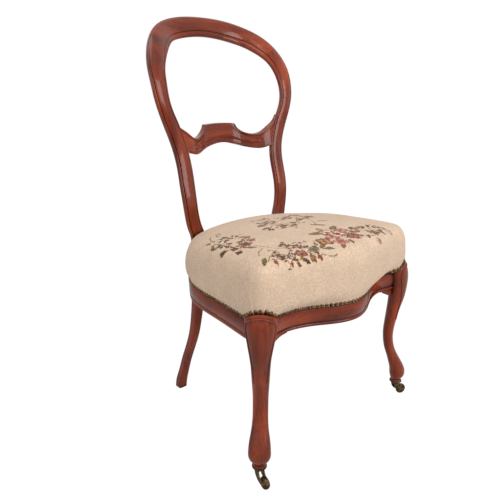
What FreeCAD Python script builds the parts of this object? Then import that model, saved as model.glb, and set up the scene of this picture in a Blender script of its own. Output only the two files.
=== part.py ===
import FreeCAD, Part
import math
import os
import Sketcher
from FreeCAD import Vector

# Balloon back dining chair: hooped back of two posts, a crest and a dished middle rail, sprung and
# stuffed seat on shaped rails, two cabriole front legs on brass casters, two sabre back legs.
# X runs across the chair, Y from its front to its back, Z up. Left is the side at negative X.
os.makedirs("parts", exist_ok=True)
doc = FreeCAD.newDocument("balloon_back_chair")

SIZES = [
    # whole chair
    ("overallheight", 888.5, "floor to the top of the crest"),
    ("originsetback", 215.2, "front caster axis to the middle of the chair's depth"),
    ("shoulderhalf", 201.0, "middle line to the outside of the hoop at its widest"),
    ("shoulderdrop", 116.0, "crest top down to the widest point of the hoop"),
    ("waisthalf", 157.0, "middle line to the outside of the posts at the waist"),
    ("waistheight", 553.0, "floor to the waist of the posts"),
    ("posthalf", 145.0, "middle line to the outside of the posts at the seat"),
    ("postbase", 385.0, "floor to where the moulded part of a post starts"),
    ("rearfoothalf", 165.5, "middle line to the outside of a back foot"),
    ("rearfootback", 382.0, "front caster axis back to the centre of a back foot"),
    ("postwide", 34.0, "width of a post's moulding at the waist"),
    ("postdepth", 22.0, "thickness of a post, front to back"),
    ("crestwide", 43.5, "height of the crest at its middle"),
    ("crestdepth", 24.0, "thickness of the crest"),
    ("bordernarrow", 5.5, "bead beside the broad band on the posts"),
    ("borderwide", 12.5, "border under the broad band on the crest"),
    ("quirkdeep", 1.7, "depth of the groove beside the band"),
    # middle rail
    ("railcrown", 650.0, "floor to the top of the tablet"),
    ("railarch", 605.0, "floor to the underside of the middle rail at its centre"),
    ("tablethalf", 43.0, "half the width of the tablet"),
    ("dishdeep", 43.0, "how far the middle rail is hollowed towards the back"),
    ("dishhalf", 125.0, "half the span of that hollow"),
    ("midraildepth", 15.0, "thickness of the middle rail"),
    # seat frame
    ("railbottom", 292.0, "floor to the underside of the seat rails"),
    ("showheight", 37.0, "height of the polished part of a seat rail"),
    ("rebateheight", 21.0, "height of the set-back part above it"),
    ("rebatedeep", 6.0, "how far that part is set back"),
    ("railthick", 24.0, "thickness of a seat rail"),
    ("backrailfront", 317.0, "front caster axis back to the face of the back rail"),
    ("frontbow", 37.0, "how far the front rail stands before the caster axis"),
    ("sidehalf", 213.0, "middle line to the outside of the side rails"),
    ("blockheight", 26.0, "height of a corner block"),
    ("blocksink", 6.0, "rail underside up to the corner blocks"),
    # front legs
    ("footout", 14.0, "outside of the side rails out to a front caster axis"),
    ("legbottom", 41.0, "floor to the underside of a front leg"),
    ("kneetop", 355.0, "floor to the top of a knee"),
    ("kneefall", 20.0, "fall of a knee's arched top to its sides"),
    # dowels and screws
    ("dowelwide", 8.0, "diameter of a dowel"),
    ("doweldeep", 18.0, "depth of a dowel in each piece"),
    ("screwwide", 4.0, "diameter of a block screw"),
    ("screwlong", 30.0, "length of a block screw"),
    # upholstery
    ("coverthick", 2.5, "thickness of the seat cover with its lining"),
    ("crownheight", 447.0, "floor to the crown of the seat"),
    ("crowntilt", 0.055, "fall of the seat top towards the back, per unit of depth"),
    ("seatgap", 0.3, "clearance between the soft layers"),
    ("hessiantop", 378.0, "floor to the top of the spring hessian"),
    ("hessianthick", 1.0, "thickness of the hessian"),
    ("webwide", 50.0, "width of a webbing strip"),
    ("webthick", 1.2, "thickness of a webbing strip"),
    ("dustthick", 0.7, "thickness of the black cloth under the seat"),
    ("springwire", 3.2, "diameter of the spring wire"),
    ("springwaist", 21.0, "radius of a spring at its waist"),
    ("springmouth", 33.0, "radius of a spring at its ends"),
    ("springturns", 4.0, "turns of wire in a spring"),
    # casters
    ("wheelwide", 25.0, "diameter of a caster wheel"),
    ("wheelthick", 10.0, "thickness of a caster wheel"),
    ("axlewide", 4.0, "diameter of a caster axle"),
    ("trail", 18.0, "caster axis to wheel axis"),
    ("flangewide", 29.0, "diameter of the plate under a front leg"),
    ("flangethick", 2.0, "thickness of that plate"),
    ("sleevewide", 10.0, "diameter of the sleeve let into a front leg"),
    ("sleevedeep", 26.0, "length of that sleeve"),
    ("pintlewide", 6.0, "diameter of the pin that the horn turns on"),
    ("pinclearance", 0.05, "running clearance round a pin, on its radius"),
    ("sideclearance", 0.4, "running clearance beside a wheel and under the plate"),
    ("cheekthick", 2.0, "thickness of a horn's cheek"),
]

sheet = doc.addObject("Spreadsheet::Sheet", "sizes")
for row, (alias, value, note) in enumerate(SIZES, start=1):
    sheet.set("A%d" % row, note)
    sheet.set("B%d" % row, "%g" % value)
    sheet.setAlias("B%d" % row, alias)
doc.recompute()


def size(alias):
    return float(getattr(sheet, alias))


nodes = []


def place(piece, label):
    piece.Label = label
    piece.setExpression(".Placement.Base.y", "-<<sizes>>.originsetback")
    nodes.append(piece)
    return piece


def feature(label, shape):
    piece = doc.addObject("Part::Feature", label)
    piece.Shape = shape
    return place(piece, label)


def mirrored(shape):
    return shape.mirror(Vector(0, 0, 0), Vector(1, 0, 0))


def across_x(points):
    return [Vector(-p.x, p.y, p.z) for p in points]


def cut_by(shape, *tools):
    for tool in tools:
        shape = shape.cut(tool)
    return biggest(shape)


def biggest(shape):
    return max(shape.Solids, key=lambda solid: solid.Volume)


def box(low, high):
    span = high - low
    return Part.makeBox(span.x, span.y, span.z, low)


def segment(start, end):
    return Part.LineSegment(start, end).toShape()


def arc(start, middle, end):
    return Part.Arc(start, middle, end).toShape()


def curve(points):
    line = Part.BSplineCurve()
    line.interpolate(points)
    return line


def closed_curve(points):
    line = Part.BSplineCurve()
    line.interpolate(Points=points, PeriodicFlag=True)
    return line


def rod(start, end, diameter):
    run = end - start
    return Part.makeCylinder(diameter / 2, run.Length, start, run)


# The hooped back
# The hoop is one moulded run from post to post over the crest. A station gives its outer edge in the
# front view, the angle from inner to outer edge, the moulding's width and thickness, how far back its
# outer edge lies, how far it leans, the width of its inner border and how sharp its outer groove is.
height = size("overallheight")
shoulder = size("shoulderhalf")
shoulder_z = height - size("shoulderdrop")
waist = size("waisthalf")
waist_z = size("waistheight")
post = size("posthalf")
base_z = size("postbase")
wide = size("postwide")
deep = size("postdepth")
crest_wide = size("crestwide")
crest_deep = size("crestdepth")
narrow = size("bordernarrow")
border = size("borderwide")

STATIONS = [
    # outer x, outer z, angle, width, thickness, outer y, lean, inner border, outer groove
    (post, base_z, 0, wide + 4, deep, 322.0, 0, narrow, 1.0),
    (post + 3.5, base_z + 40, 4, wide + 3, deep, 323.5, 2, narrow, 1.0),
    (waist - 2.5, waist_z - 95, 4, wide, deep, 325.5, 3.5, narrow, 1.0),
    (waist + 0.5, waist_z - 61, 0.5, wide, deep, 328.5, 5, narrow, 1.0),
    (waist + 1, waist_z - 32, -2, wide + 1, deep, 334.5, 7, narrow, 1.0),
    (waist, waist_z, -2, wide + 1, deep, 342.5, 8, narrow, 1.0),
    (waist + 2, waist_z + 33, -10, wide + 0.5, deep, 349.5, 8.5, narrow, 1.0),
    (shoulder - 35, waist_z + 63, -16.5, wide, deep, 353.0, 8.5, narrow, 1.0),
    (shoulder - 23, shoulder_z - 123.5, -17.5, wide, deep, 354.5, 8.5, narrow, 1.0),
    (shoulder - 11, shoulder_z - 91, -11, wide - 2, deep, 355.0, 8.5, narrow, 1.0),
    (shoulder - 3, shoulder_z - 60, -3.5, wide - 1, deep, 357.5, 9, narrow, 1.0),
    (shoulder, shoulder_z - 27, 5.5, wide + 2.5, deep, 364.5, 10, narrow + 1, 0.9),
    (shoulder - 0.5, shoulder_z, 11, crest_wide - 3, deep, 374.0, 11, narrow + 3, 0.7),
    (shoulder - 8, shoulder_z + 29.5, 16, crest_wide + 2, deep, 388.0, 12, border - 2, 0.4),
    (shoulder - 20.5, height - 63.5, 26.5, crest_wide + 4.5, crest_deep, 401.5, 13, border, 0.2),
    (shoulder - 39, height - 42.5, 40.5, crest_wide + 5.5, crest_deep, 418.0, 14, border, 0.0),
    (shoulder - 62, height - 26.5, 52, crest_wide + 4.5, crest_deep, 434.5, 15, border, 0.0),
    (shoulder - 89, height - 15, 64.5, crest_wide + 3, crest_deep, 448.0, 15, border, 0.0),
    (shoulder - 130.5, height - 5, 77, crest_wide + 2, crest_deep, 458.0, 15, border, 0.0),
    (0, height, 90, crest_wide, crest_deep, 462.5, 15, border, 0.0),
]
JOINT = 14
BAND_DROP = 2.2
BEAD_SHOULDER = 6.0
OUTER_EDGE = 4.0
SIDE_END = 7.0
BACK_ROUND = 13.0


class Station:
    def __init__(self, row, side):
        x, z, angle, self.width, self.depth, y, lean, self.inner_border, self.groove = row
        turn = math.radians(angle)
        tip = math.radians(lean)
        self.across = Vector(side * math.cos(turn), math.sin(turn) * math.sin(tip),
                             math.sin(turn) * math.cos(tip))
        self.back = Vector(0, math.cos(tip), -math.sin(tip))
        middle = self.across * (self.width / 2)
        self.face = Vector(side * x, y, z) - middle - self.back * OUTER_EDGE

    def at(self, across, back):
        return self.face + self.across * across + self.back * back

    def section(self):
        half = self.width / 2
        quirk = size("quirkdeep")
        band_out = half - narrow
        band_in = -(half - self.inner_border)
        groove_out = BAND_DROP + quirk * self.groove
        groove_in = BAND_DROP + quirk
        bead_out = 2.4 + 1.1 * (1 - self.groove)
        bead_in = 2.4 + 0.06 * self.inner_border
        bend = BACK_ROUND * (1 - math.sqrt(0.5))
        bend_back = SIDE_END + (self.depth - SIDE_END) * math.sqrt(0.5)
        at = self.at
        edges = [
            arc(at(band_in, BAND_DROP), at((band_in + band_out) / 2, 0), at(band_out, BAND_DROP)),
            segment(at(band_out, BAND_DROP), at(band_out + 0.9, groove_out)),
            arc(at(band_out + 0.9, groove_out), at(half - narrow / 2, bead_out),
                at(half, BEAD_SHOULDER)),
            segment(at(half, BEAD_SHOULDER), at(half, SIDE_END)),
            arc(at(half, SIDE_END), at(half - bend, bend_back), at(half - BACK_ROUND, self.depth)),
            segment(at(half - BACK_ROUND, self.depth), at(BACK_ROUND - half, self.depth)),
            arc(at(BACK_ROUND - half, self.depth), at(bend - half, bend_back), at(-half, SIDE_END)),
            segment(at(-half, SIDE_END), at(-half, BEAD_SHOULDER)),
            arc(at(-half, BEAD_SHOULDER), at(-half + self.inner_border / 2, bead_in),
                at(band_in - 0.9, groove_in)),
            segment(at(band_in - 0.9, groove_in), at(band_in, BAND_DROP)),
        ]
        return Part.Wire(edges)


right_run = [Station(row, 1) for row in STATIONS]
past_middle = [Station(row, -1) for row in STATIONS[-2:-5:-1]]
half_hoop = Part.makeLoft([s.section() for s in right_run + past_middle], True, False)
FAR = 1500.0
right_half = box(Vector(0, -FAR, -FAR), Vector(FAR, FAR, FAR))


def beyond_joint(station):
    """All that lies on the post's side of a crest joint."""
    along = station.across.cross(station.back)
    plane = Part.makePlane(FAR, FAR, Vector(0, 0, 0), along)
    plane.translate(station.face - plane.CenterOfMass)
    return plane.extrude(along * -FAR).common(right_half)


post_space = beyond_joint(right_run[JOINT])
right_stile = half_hoop.common(post_space)
half_crest = half_hoop.cut(post_space).common(right_half)
crest_blank = biggest(half_crest.fuse(mirrored(half_crest)))

# The sabre leg below each post: height, outer x, centre y, width, depth, corner radius
foot = size("rearfoothalf")
foot_y = size("rearfootback")
bottom = size("railbottom")
LEG_STATIONS = [
    (0, foot, foot_y, 22.5, 22.0, 4.5),
    (45, foot - 4, foot_y - 9, 21.5, 21.0, 5.0),
    (85, foot - 7.5, foot_y - 21, 21.0, 20.5, 5.5),
    (125, foot - 10.5, foot_y - 36, 21.0, 20.5, 5.5),
    (170, foot - 13, foot_y - 51, 21.5, 21.0, 5.5),
    (bottom - 72, foot - 15.5, 323.0, 23.0, 22.5, 5.5),
    (bottom - 32, foot - 17.5, 320.5, 25.0, 24.5, 5.5),
    (bottom, post + 2.5, 323.0, 28.5, 26.5, 5.0),
    (bottom + 48, post + 1, 328.0, 35.0, 26.0, 5.0),
    (base_z, post + 0.7, 322.0 - OUTER_EDGE + deep / 2, wide + 5.4, deep + 1.4, 5.0),
]


def rounded_section(z, outer, centre_y, width, depth, radius):
    inner = outer - width
    front = centre_y - depth / 2
    rear = centre_y + depth / 2
    bend = radius * (1 - math.sqrt(0.5))
    p = lambda x, y: Vector(x, y, z)
    return Part.Wire([
        segment(p(inner + radius, front), p(outer - radius, front)),
        arc(p(outer - radius, front), p(outer - bend, front + bend), p(outer, front + radius)),
        segment(p(outer, front + radius), p(outer, rear - radius)),
        arc(p(outer, rear - radius), p(outer - bend, rear - bend), p(outer - radius, rear)),
        segment(p(outer - radius, rear), p(inner + radius, rear)),
        arc(p(inner + radius, rear), p(inner + bend, rear - bend), p(inner, rear - radius)),
        segment(p(inner, rear - radius), p(inner, front + radius)),
        arc(p(inner, front + radius), p(inner + bend, front + bend), p(inner + radius, front)),
    ])


right_leg_below = Part.makeLoft([rounded_section(*row) for row in LEG_STATIONS], True, False)
right_post_blank = biggest(right_stile.fuse(right_leg_below))
left_post_blank = mirrored(right_post_blank)

# The front legs
# A cabriole leg curves in the plane that runs out through the corner of the seat. A station gives its
# height, how far its centre lies beyond the caster axis, half its depth along that plane, half its
# width across it, and the power of its outline: 2 is an ellipse, less is nearer to a diamond.
spread = size("sidehalf") + size("footout")
leg_bottom = size("legbottom")
knee_top = size("kneetop")
CABRIOLE = [
    (leg_bottom, -0.5, 12.5, 13.5, 2.0),
    (leg_bottom + 8, -0.5, 12.5, 13.5, 2.0),
    (leg_bottom + 14, 0.5, 15.5, 18.0, 2.0),
    (leg_bottom + 22, 1.0, 17.5, 21.5, 2.1),
    (leg_bottom + 32, 0.5, 17.8, 22.0, 2.1),
    (leg_bottom + 49, -5.0, 16.5, 20.5, 2.1),
    (leg_bottom + 68, -13.5, 13.7, 17.3, 2.1),
    (leg_bottom + 88, -22.0, 12.3, 15.3, 2.1),
    (leg_bottom + 111, -27.5, 11.7, 15.0, 2.1),
    (leg_bottom + 135, -29.0, 12.0, 15.2, 2.1),
    (leg_bottom + 167, -26.0, 13.2, 16.8, 2.1),
    (leg_bottom + 197, -22.0, 15.0, 18.2, 2.1),
    (knee_top - 91, -18.0, 18.0, 20.0, 2.0),
    (knee_top - 62, -17.5, 21.5, 24.0, 1.85),
    (knee_top - 37, -21.0, 25.5, 28.0, 1.75),
    (knee_top - 17, -24.5, 25.5, 30.5, 1.75),
    (knee_top, -29.0, 24.0, 31.5, 1.75),
]
KNEE_REACH = 34.0
OUTWARD = Vector(math.sqrt(0.5), -math.sqrt(0.5), 0)
SIDEWAYS = Vector(math.sqrt(0.5), math.sqrt(0.5), 0)
OUTLINE_POINTS = 16


def oval(z, beyond, half_depth, half_width, power):
    centre = Vector(spread, 0, z) + OUTWARD * beyond
    points = []
    for step in range(OUTLINE_POINTS):
        turn = 2 * math.pi * step / OUTLINE_POINTS
        c, s = math.cos(turn), math.sin(turn)
        reach = (abs(c) ** power + abs(s) ** power) ** (-1 / power)
        points.append(centre + OUTWARD * (half_depth * reach * c) + SIDEWAYS * (half_width * reach * s))
    return Part.Wire([closed_curve(points).toShape()])


def across_knee(sideways, z):
    return Vector(spread, 0, z) + SIDEWAYS * sideways - OUTWARD * 120


# The top of the knee is a shield's arch when seen from the corner of the seat.
knee_side = knee_top - size("kneefall")
knee_arch = Part.Face(Part.Wire([
    arc(across_knee(-KNEE_REACH, knee_side), across_knee(0, knee_top),
        across_knee(KNEE_REACH, knee_side)),
    segment(across_knee(KNEE_REACH, knee_side), across_knee(KNEE_REACH, -1)),
    segment(across_knee(KNEE_REACH, -1), across_knee(-KNEE_REACH, -1)),
    segment(across_knee(-KNEE_REACH, -1), across_knee(-KNEE_REACH, knee_side)),
])).extrude(OUTWARD * 240)
square_leg = Part.makeLoft([oval(*row) for row in CABRIOLE], True, False)
right_front_blank = biggest(square_leg.common(knee_arch))
left_front_blank = mirrored(right_front_blank)

# The seat's outline
# One closed line, from the middle of the back round the right side to the front and back again, which
# the rails, the cover and every soft layer share.
side_half = size("sidehalf")
bow = size("frontbow")
back_line = size("backrailfront") + size("railthick")
SEAT_HALF = [
    Vector(0, back_line, 0),
    Vector(70, back_line, 0),
    Vector(post - 30, back_line - 3, 0),
    Vector(post + 4, 327, 0),
    Vector(post + (side_half - post) * 0.456, 294, 0),
    Vector(post + (side_half - post) * 0.765, 257, 0),
    Vector(post + (side_half - post) * 0.934, 213, 0),
    Vector(side_half, 168, 0),
    Vector(side_half + 3, 126, 0),
    Vector(side_half + 8, 75, 0),
    Vector(side_half + 11, 42, 0),
    Vector(side_half + 7, 16, 0),
    Vector(side_half - 17, 8, 0),
    Vector(side_half * 0.728, 13, 0),
    Vector(side_half * 0.573, 9, 0),
    Vector(side_half * 0.423, 34 - bow, 0),
    Vector(side_half * 0.282, 18 - bow, 0),
    Vector(side_half * 0.141, 5 - bow, 0),
    Vector(0, -bow, 0),
]
SIDE_ENDS = (3, 10)
FRONT_START = 12
SEAT_LINE = SEAT_HALF + across_x(SEAT_HALF)[::-1][1:-1]
SEAT_CENTRE = Vector(0, 160, 0)
seat_outline = closed_curve(SEAT_LINE)
knots = seat_outline.getKnots()

# The seat rails
# The side and front rails are a moulded section carried along their stretch of the outline, and the
# back rail, which no one sees the face of, is a plain board.
show = size("showheight")
rebate = size("rebateheight")
rebate_deep = size("rebatedeep")
rail_thick = size("railthick")
rail_top = bottom + show + rebate


def moulded_rail(first, last):
    """A rail whose outer face follows the outline from one of its points to another."""
    start = seat_outline.value(knots[first])
    along = Vector(*seat_outline.tangent(knots[first])[0])
    outward = Vector(0, 0, 1).cross(along).normalize()
    p = lambda out, z: start + outward * out + Vector(0, 0, z)
    inner = -rail_thick
    section = Part.Wire([
        segment(p(inner, bottom), p(-1.8, bottom)),
        arc(p(-1.8, bottom), p(0, bottom + 3.2), p(-1.8, bottom + 6.4)),
        segment(p(-1.8, bottom + 6.4), p(-3.2, bottom + 7.6)),
        segment(p(-3.2, bottom + 7.6), p(-1.8, bottom + 9.0)),
        arc(p(-1.8, bottom + 9.0), p(0.8, bottom + 9 + (show - 9) * 0.45), p(-1.2, bottom + show)),
        segment(p(-1.2, bottom + show), p(-rebate_deep, bottom + show)),
        segment(p(-rebate_deep, bottom + show), p(-rebate_deep, rail_top)),
        segment(p(-rebate_deep, rail_top), p(inner, rail_top)),
        segment(p(inner, rail_top), p(inner, bottom)),
    ])
    path = seat_outline.toShape(knots[first], knots[last])
    shell = Part.BRepOffsetAPI.MakePipeShell(Part.Wire([path]))
    shell.setBiNormalMode(Vector(0, 0, 1))
    shell.add(section)
    shell.build()
    shell.makeSolid()
    return shell.shape()


right_side_blank = moulded_rail(*SIDE_ENDS)
front_blank = moulded_rail(FRONT_START, len(SEAT_LINE) - FRONT_START)

back_body = doc.addObject("PartDesign::Body", "back_rail_blank")


def origin_plane(body, role):
    for item in body.Origin.OriginFeatures:
        if item.Role == role:
            return item
    raise ValueError(role)


def sketch_on(body, role, name):
    sketch = body.newObject("Sketcher::SketchObject", name)
    sketch.AttachmentSupport = (origin_plane(body, role), [""])
    sketch.MapMode = "FlatFace"
    return sketch


def polygon(sketch, corners):
    """Draws a closed outline whose corners each have a value and an expression for X and for Y."""
    values = [Vector(x, y, 0) for x, _, y, _ in corners]
    count = len(corners)
    for i in range(count):
        sketch.addGeometry(Part.LineSegment(values[i], values[(i + 1) % count]), False)
    for i in range(count):
        sketch.addConstraint(Sketcher.Constraint("Coincident", i, 2, (i + 1) % count, 1))
    for i, (x, x_expression, y, y_expression) in enumerate(corners):
        for kind, value, expression in (("DistanceX", x, x_expression), ("DistanceY", y, y_expression)):
            number = sketch.addConstraint(Sketcher.Constraint(kind, -1, 1, i, 1, value))
            name = "%s_%d" % (kind, i)
            sketch.renameConstraint(number, name)
            sketch.setExpression("Constraints." + name, expression)


back_face = size("backrailfront")
FRONT = "<<sizes>>.backrailfront"
BACK = FRONT + " + <<sizes>>.railthick"
LOW = "<<sizes>>.railbottom"
SHOW = LOW + " + <<sizes>>.showheight"
TOP = SHOW + " + <<sizes>>.rebateheight"
back_sketch = sketch_on(back_body, "YZ_Plane", "back_rail_section")
polygon(back_sketch, [
    (back_face, FRONT, bottom, LOW),
    (back_line, BACK, bottom, LOW),
    (back_line, BACK, bottom + show, SHOW),
    (back_line - rebate_deep, BACK + " - <<sizes>>.rebatedeep", bottom + show, SHOW),
    (back_line - rebate_deep, BACK + " - <<sizes>>.rebatedeep", rail_top, TOP),
    (back_face, FRONT, rail_top, TOP),
])
back_pad = back_body.newObject("PartDesign::Pad", "back_rail_pad")
back_pad.Profile = back_sketch
back_pad.Midplane = True
back_pad.setExpression("Length", "2 * (<<sizes>>.posthalf - 28)")
back_body.Tip = back_pad
doc.recompute()
back_rail = cut_by(back_body.Shape, right_post_blank, left_post_blank)

right_side = cut_by(right_side_blank, right_post_blank, right_front_blank)
left_side = mirrored(right_side)
front_rail = cut_by(front_blank, right_front_blank, left_front_blank)

# The middle rail
# Sawn to its outline from the front and to its hollow in plan, and fitted between the posts.
crown = size("railcrown")
arch = size("railarch")
tablet = size("tablethalf")
dish = size("dishdeep")
dish_half = size("dishhalf")
mid_deep = size("midraildepth")
MID_FACE = 397.5
MID_LEAN = 0.15
REACH = 156.0

UPPER_EDGE = [
    Vector(tablet, 0, crown - 2),
    Vector(tablet + 6, 0, crown - 12),
    Vector(tablet + 18, 0, crown - 21.5),
    Vector(tablet + 33, 0, crown - 27),
    Vector(tablet + 47, 0, crown - 28),
    Vector(tablet + 64, 0, crown - 23),
    Vector(tablet + 79, 0, crown - 13),
    Vector(tablet + 92, 0, crown - 5),
    Vector(tablet + 104, 0, crown + 4),
    Vector(REACH, 0, crown + 16),
]
LOWER_EDGE = [
    Vector(REACH, 0, arch + 6),
    Vector(138, 0, arch - 4),
    Vector(120, 0, arch - 12),
    Vector(103, 0, arch - 17),
    Vector(84, 0, arch - 17.5),
    Vector(55, 0, arch - 10.5),
    Vector(28, 0, arch - 3.5),
    Vector(0, 0, arch),
]
upper_right = curve(UPPER_EDGE).toShape()
upper_left = curve(across_x(UPPER_EDGE)[::-1]).toShape()
lower = curve(LOWER_EDGE + across_x(LOWER_EDGE)[::-1][1:]).toShape()
tablet_top = arc(across_x(UPPER_EDGE)[0], Vector(0, 0, crown), UPPER_EDGE[0])
outline = Part.Wire([
    upper_left,
    tablet_top,
    upper_right,
    segment(UPPER_EDGE[-1], LOWER_EDGE[0]),
    lower,
    segment(across_x(LOWER_EDGE)[0], across_x(UPPER_EDGE)[-1]),
])
outline_prism = Part.Face(outline).extrude(Vector(0, 600, 0))


def hollowed(face_y, thick):
    """A slab bent back in the middle and leaning, its face at face_y on the middle line."""
    low_z = arch - 40
    rise = crown + 30 - low_z
    y0 = face_y + MID_LEAN * (low_z - (crown + arch) / 2)
    half_plan = [
        Vector(0, y0, low_z),
        Vector(0.25 * dish_half, y0 - 0.02 * dish, low_z),
        Vector(0.42 * dish_half, y0 - 0.12 * dish, low_z),
        Vector(0.60 * dish_half, y0 - 0.40 * dish, low_z),
        Vector(0.80 * dish_half, y0 - 0.77 * dish, low_z),
        Vector(dish_half, y0 - 0.98 * dish, low_z),
        Vector(dish_half + 18, y0 - dish, low_z),
        Vector(REACH + 6, y0 - dish, low_z),
    ]
    front = curve(across_x(half_plan)[::-1] + half_plan[1:]).toShape()
    back = front.copy()
    back.translate(Vector(0, thick, 0))
    right_end = segment(half_plan[-1], half_plan[-1] + Vector(0, thick, 0))
    face = Part.Face(Part.Wire([front, right_end, back, mirrored(right_end)]))
    return face.extrude(Vector(0, MID_LEAN * rise, rise))


mid_blank = outline_prism.common(hollowed(MID_FACE, mid_deep))
mid_rail = cut_by(mid_blank, right_post_blank, left_post_blank)

# Dowels
# Each joint has two glued dowels, which fill their holes from piece to piece.
dowel_wide = size("dowelwide")
dowel_deep = size("doweldeep")


def dowel_pair(centre, along, apart):
    """Two dowels through a joint, their middles either side of its centre."""
    along.normalize()
    return [
        rod(centre + apart * s - along * dowel_deep, centre + apart * s + along * dowel_deep, dowel_wide)
        for s in (-1, 1)
    ]


joint_at = right_run[JOINT]
joint_along = right_run[JOINT + 1].at(0, crest_deep / 2) - right_run[JOINT - 1].at(0, deep / 2)
crest_dowels = dowel_pair(joint_at.at(0, crest_deep / 2 + 1), joint_along, joint_at.across * 8)
crest_dowels += [mirrored(d) for d in crest_dowels]
MID_JOINT = Vector(128, MID_FACE - 35, (crown + arch) / 2 - 10)
mid_dowels = dowel_pair(MID_JOINT, Vector(0.93, -0.20, 0), Vector(0, 1.2, 8))
mid_dowels += [mirrored(d) for d in mid_dowels]
rail_middle = bottom + (show + rebate) / 2
APART = Vector(0, 0, 17)
NEARER = Vector(0, 0, 7)
back_dowels = dowel_pair(Vector(post - 33, back_line - rail_thick / 2, rail_middle), Vector(1, 0, 0), APART)
back_dowels += [mirrored(d) for d in back_dowels]
side_dowels = dowel_pair(Vector(140, 314, rail_middle), Vector(-0.62, 0.78, 0), NEARER)
side_dowels += dowel_pair(Vector(side_half - 2, 42, rail_middle), Vector(0, 1, 0), NEARER)
side_dowels += [mirrored(d) for d in side_dowels]
front_dowels = dowel_pair(Vector(side_half - 27, 22, rail_middle), Vector(1, 0, 0), APART)
front_dowels += [mirrored(d) for d in front_dowels]
every_dowel = crest_dowels + mid_dowels + back_dowels + side_dowels + front_dowels

# Corner blocks and their screws
# A block braces each corner from inside, cut to fit the rails, and each is held by two screws.
block_low = bottom + size("blocksink")
block_high = block_low + size("blockheight")
REAR_BLOCK = [(58, 325), (130, 325), (side_half - 37, 262), (side_half - 50, 250)]
FRONT_BLOCK = [
    (side_half - 75, 20), (side_half - 13, 20), (side_half - 3, 30), (side_half - 3, 98),
    (side_half - 17, 98),
]


def plan_prism(corners, low, high):
    points = [Vector(x, y, low) for x, y in corners]
    points.append(points[0])
    return Part.Face(Part.makePolygon(points)).extrude(Vector(0, 0, high - low))


rear_block = cut_by(plan_prism(REAR_BLOCK, block_low, block_high), back_rail, right_side,
                    right_post_blank)
front_block = cut_by(plan_prism(FRONT_BLOCK, block_low, block_high), front_rail, right_side,
                     right_front_blank)
screw_z = (block_low + block_high) / 2
HEAD_HEIGHT = 2.5


def screw(head, along):
    """A countersunk screw from its head, pointing along."""
    along.normalize()
    wide_end = size("screwwide")
    shank = rod(head, head + along * size("screwlong"), wide_end)
    cone = Part.makeCone(wide_end, wide_end / 2, HEAD_HEIGHT, head, along)
    return shank.fuse(cone).removeSplitter()


block_screws = [
    screw(Vector(84, 305, screw_z), Vector(0, 1, 0)),
    screw(Vector(side_half - 73, 266, screw_z), Vector(0.75, 0.66, 0)),
    screw(Vector(side_half - 55, 48, screw_z), Vector(0, -1, 0)),
    screw(Vector(side_half - 32, 80, screw_z), Vector(1, 0, 0)),
]
block_screws += [mirrored(s) for s in block_screws]

# Casters
# A flanged sleeve is let into the foot, the horn turns in it on a pintle, and the wheel runs on an
# axle riveted through the horn's cheeks.
wheel_wide = size("wheelwide")
wheel_thick = size("wheelthick")
axle_wide = size("axlewide")
trail = size("trail")
flange_wide = size("flangewide")
flange_thick = size("flangethick")
sleeve_wide = size("sleevewide")
sleeve_deep = size("sleevedeep")
pintle_wide = size("pintlewide")
pin_gap = size("pinclearance")
side_gap = size("sideclearance")
cheek = size("cheekthick")
flange_low = leg_bottom - flange_thick


def turned(profile):
    """A solid turned about the Z axis from (radius, z) corners."""
    points = [Vector(r, 0, z) for r, z in profile]
    points.append(points[0])
    return Part.Face(Part.makePolygon(points)).revolve(Vector(0, 0, 0), Vector(0, 0, 1), 360)


def caster_socket():
    bore = pintle_wide / 2 + pin_gap
    top = leg_bottom + sleeve_deep
    return turned([
        (bore, flange_low),
        (flange_wide / 2 - 0.6, flange_low),
        (flange_wide / 2, flange_low + 0.6),
        (flange_wide / 2, leg_bottom),
        (sleeve_wide / 2, leg_bottom),
        (sleeve_wide / 2, top),
        (0, top),
        (0, top - 2),
        (bore, top - 2),
    ])


def caster_horn():
    """The horn at rest with its wheel trailing along X from the swivel axis."""
    crown_high = flange_low - side_gap
    crown_low = crown_high - 6
    pintle_top = leg_bottom + sleeve_deep - 3
    stem = turned([
        (0, crown_low), (7.5, crown_low), (9, crown_low + 2), (9, crown_high - 1), (8, crown_high),
        (pintle_wide / 2, crown_high), (pintle_wide / 2, pintle_top), (0, pintle_top),
    ])
    inside = wheel_thick / 2 + side_gap
    outside = inside + cheek
    axle_z = wheel_wide / 2
    boss = axle_wide / 2 + 3
    arm = Part.Wire([
        arc(Vector(trail - boss * 0.72, 0, axle_z - boss * 0.7), Vector(trail + boss, 0, axle_z),
            Vector(trail - boss * 0.1, 0, axle_z + boss)),
        arc(Vector(trail - boss * 0.1, 0, axle_z + boss), Vector(8.6, 0, axle_z + 12.5),
            Vector(7.0, 0, crown_low + 3)),
        segment(Vector(7.0, 0, crown_low + 3), Vector(-6.5, 0, crown_low + 3)),
        segment(Vector(-6.5, 0, crown_low + 3), Vector(-6.5, 0, crown_low - 1)),
        arc(Vector(-6.5, 0, crown_low - 1), Vector(1.5, 0, axle_z + 3),
            Vector(trail - boss * 0.72, 0, axle_z - boss * 0.7)),
    ])
    cheeks = []
    for low_y in (inside, -outside):
        plate = Part.Face(arm)
        plate.translate(Vector(0, low_y, 0))
        cheeks.append(plate.extrude(Vector(0, cheek, 0)))
    bridge = box(Vector(-6.5, -outside, crown_low), Vector(7.0, outside, crown_low + 3))
    horn = stem.fuse(cheeks + [bridge]).removeSplitter()
    hole = rod(Vector(trail, -20, axle_z), Vector(trail, 20, axle_z), axle_wide)
    return biggest(horn.cut(hole))


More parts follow.
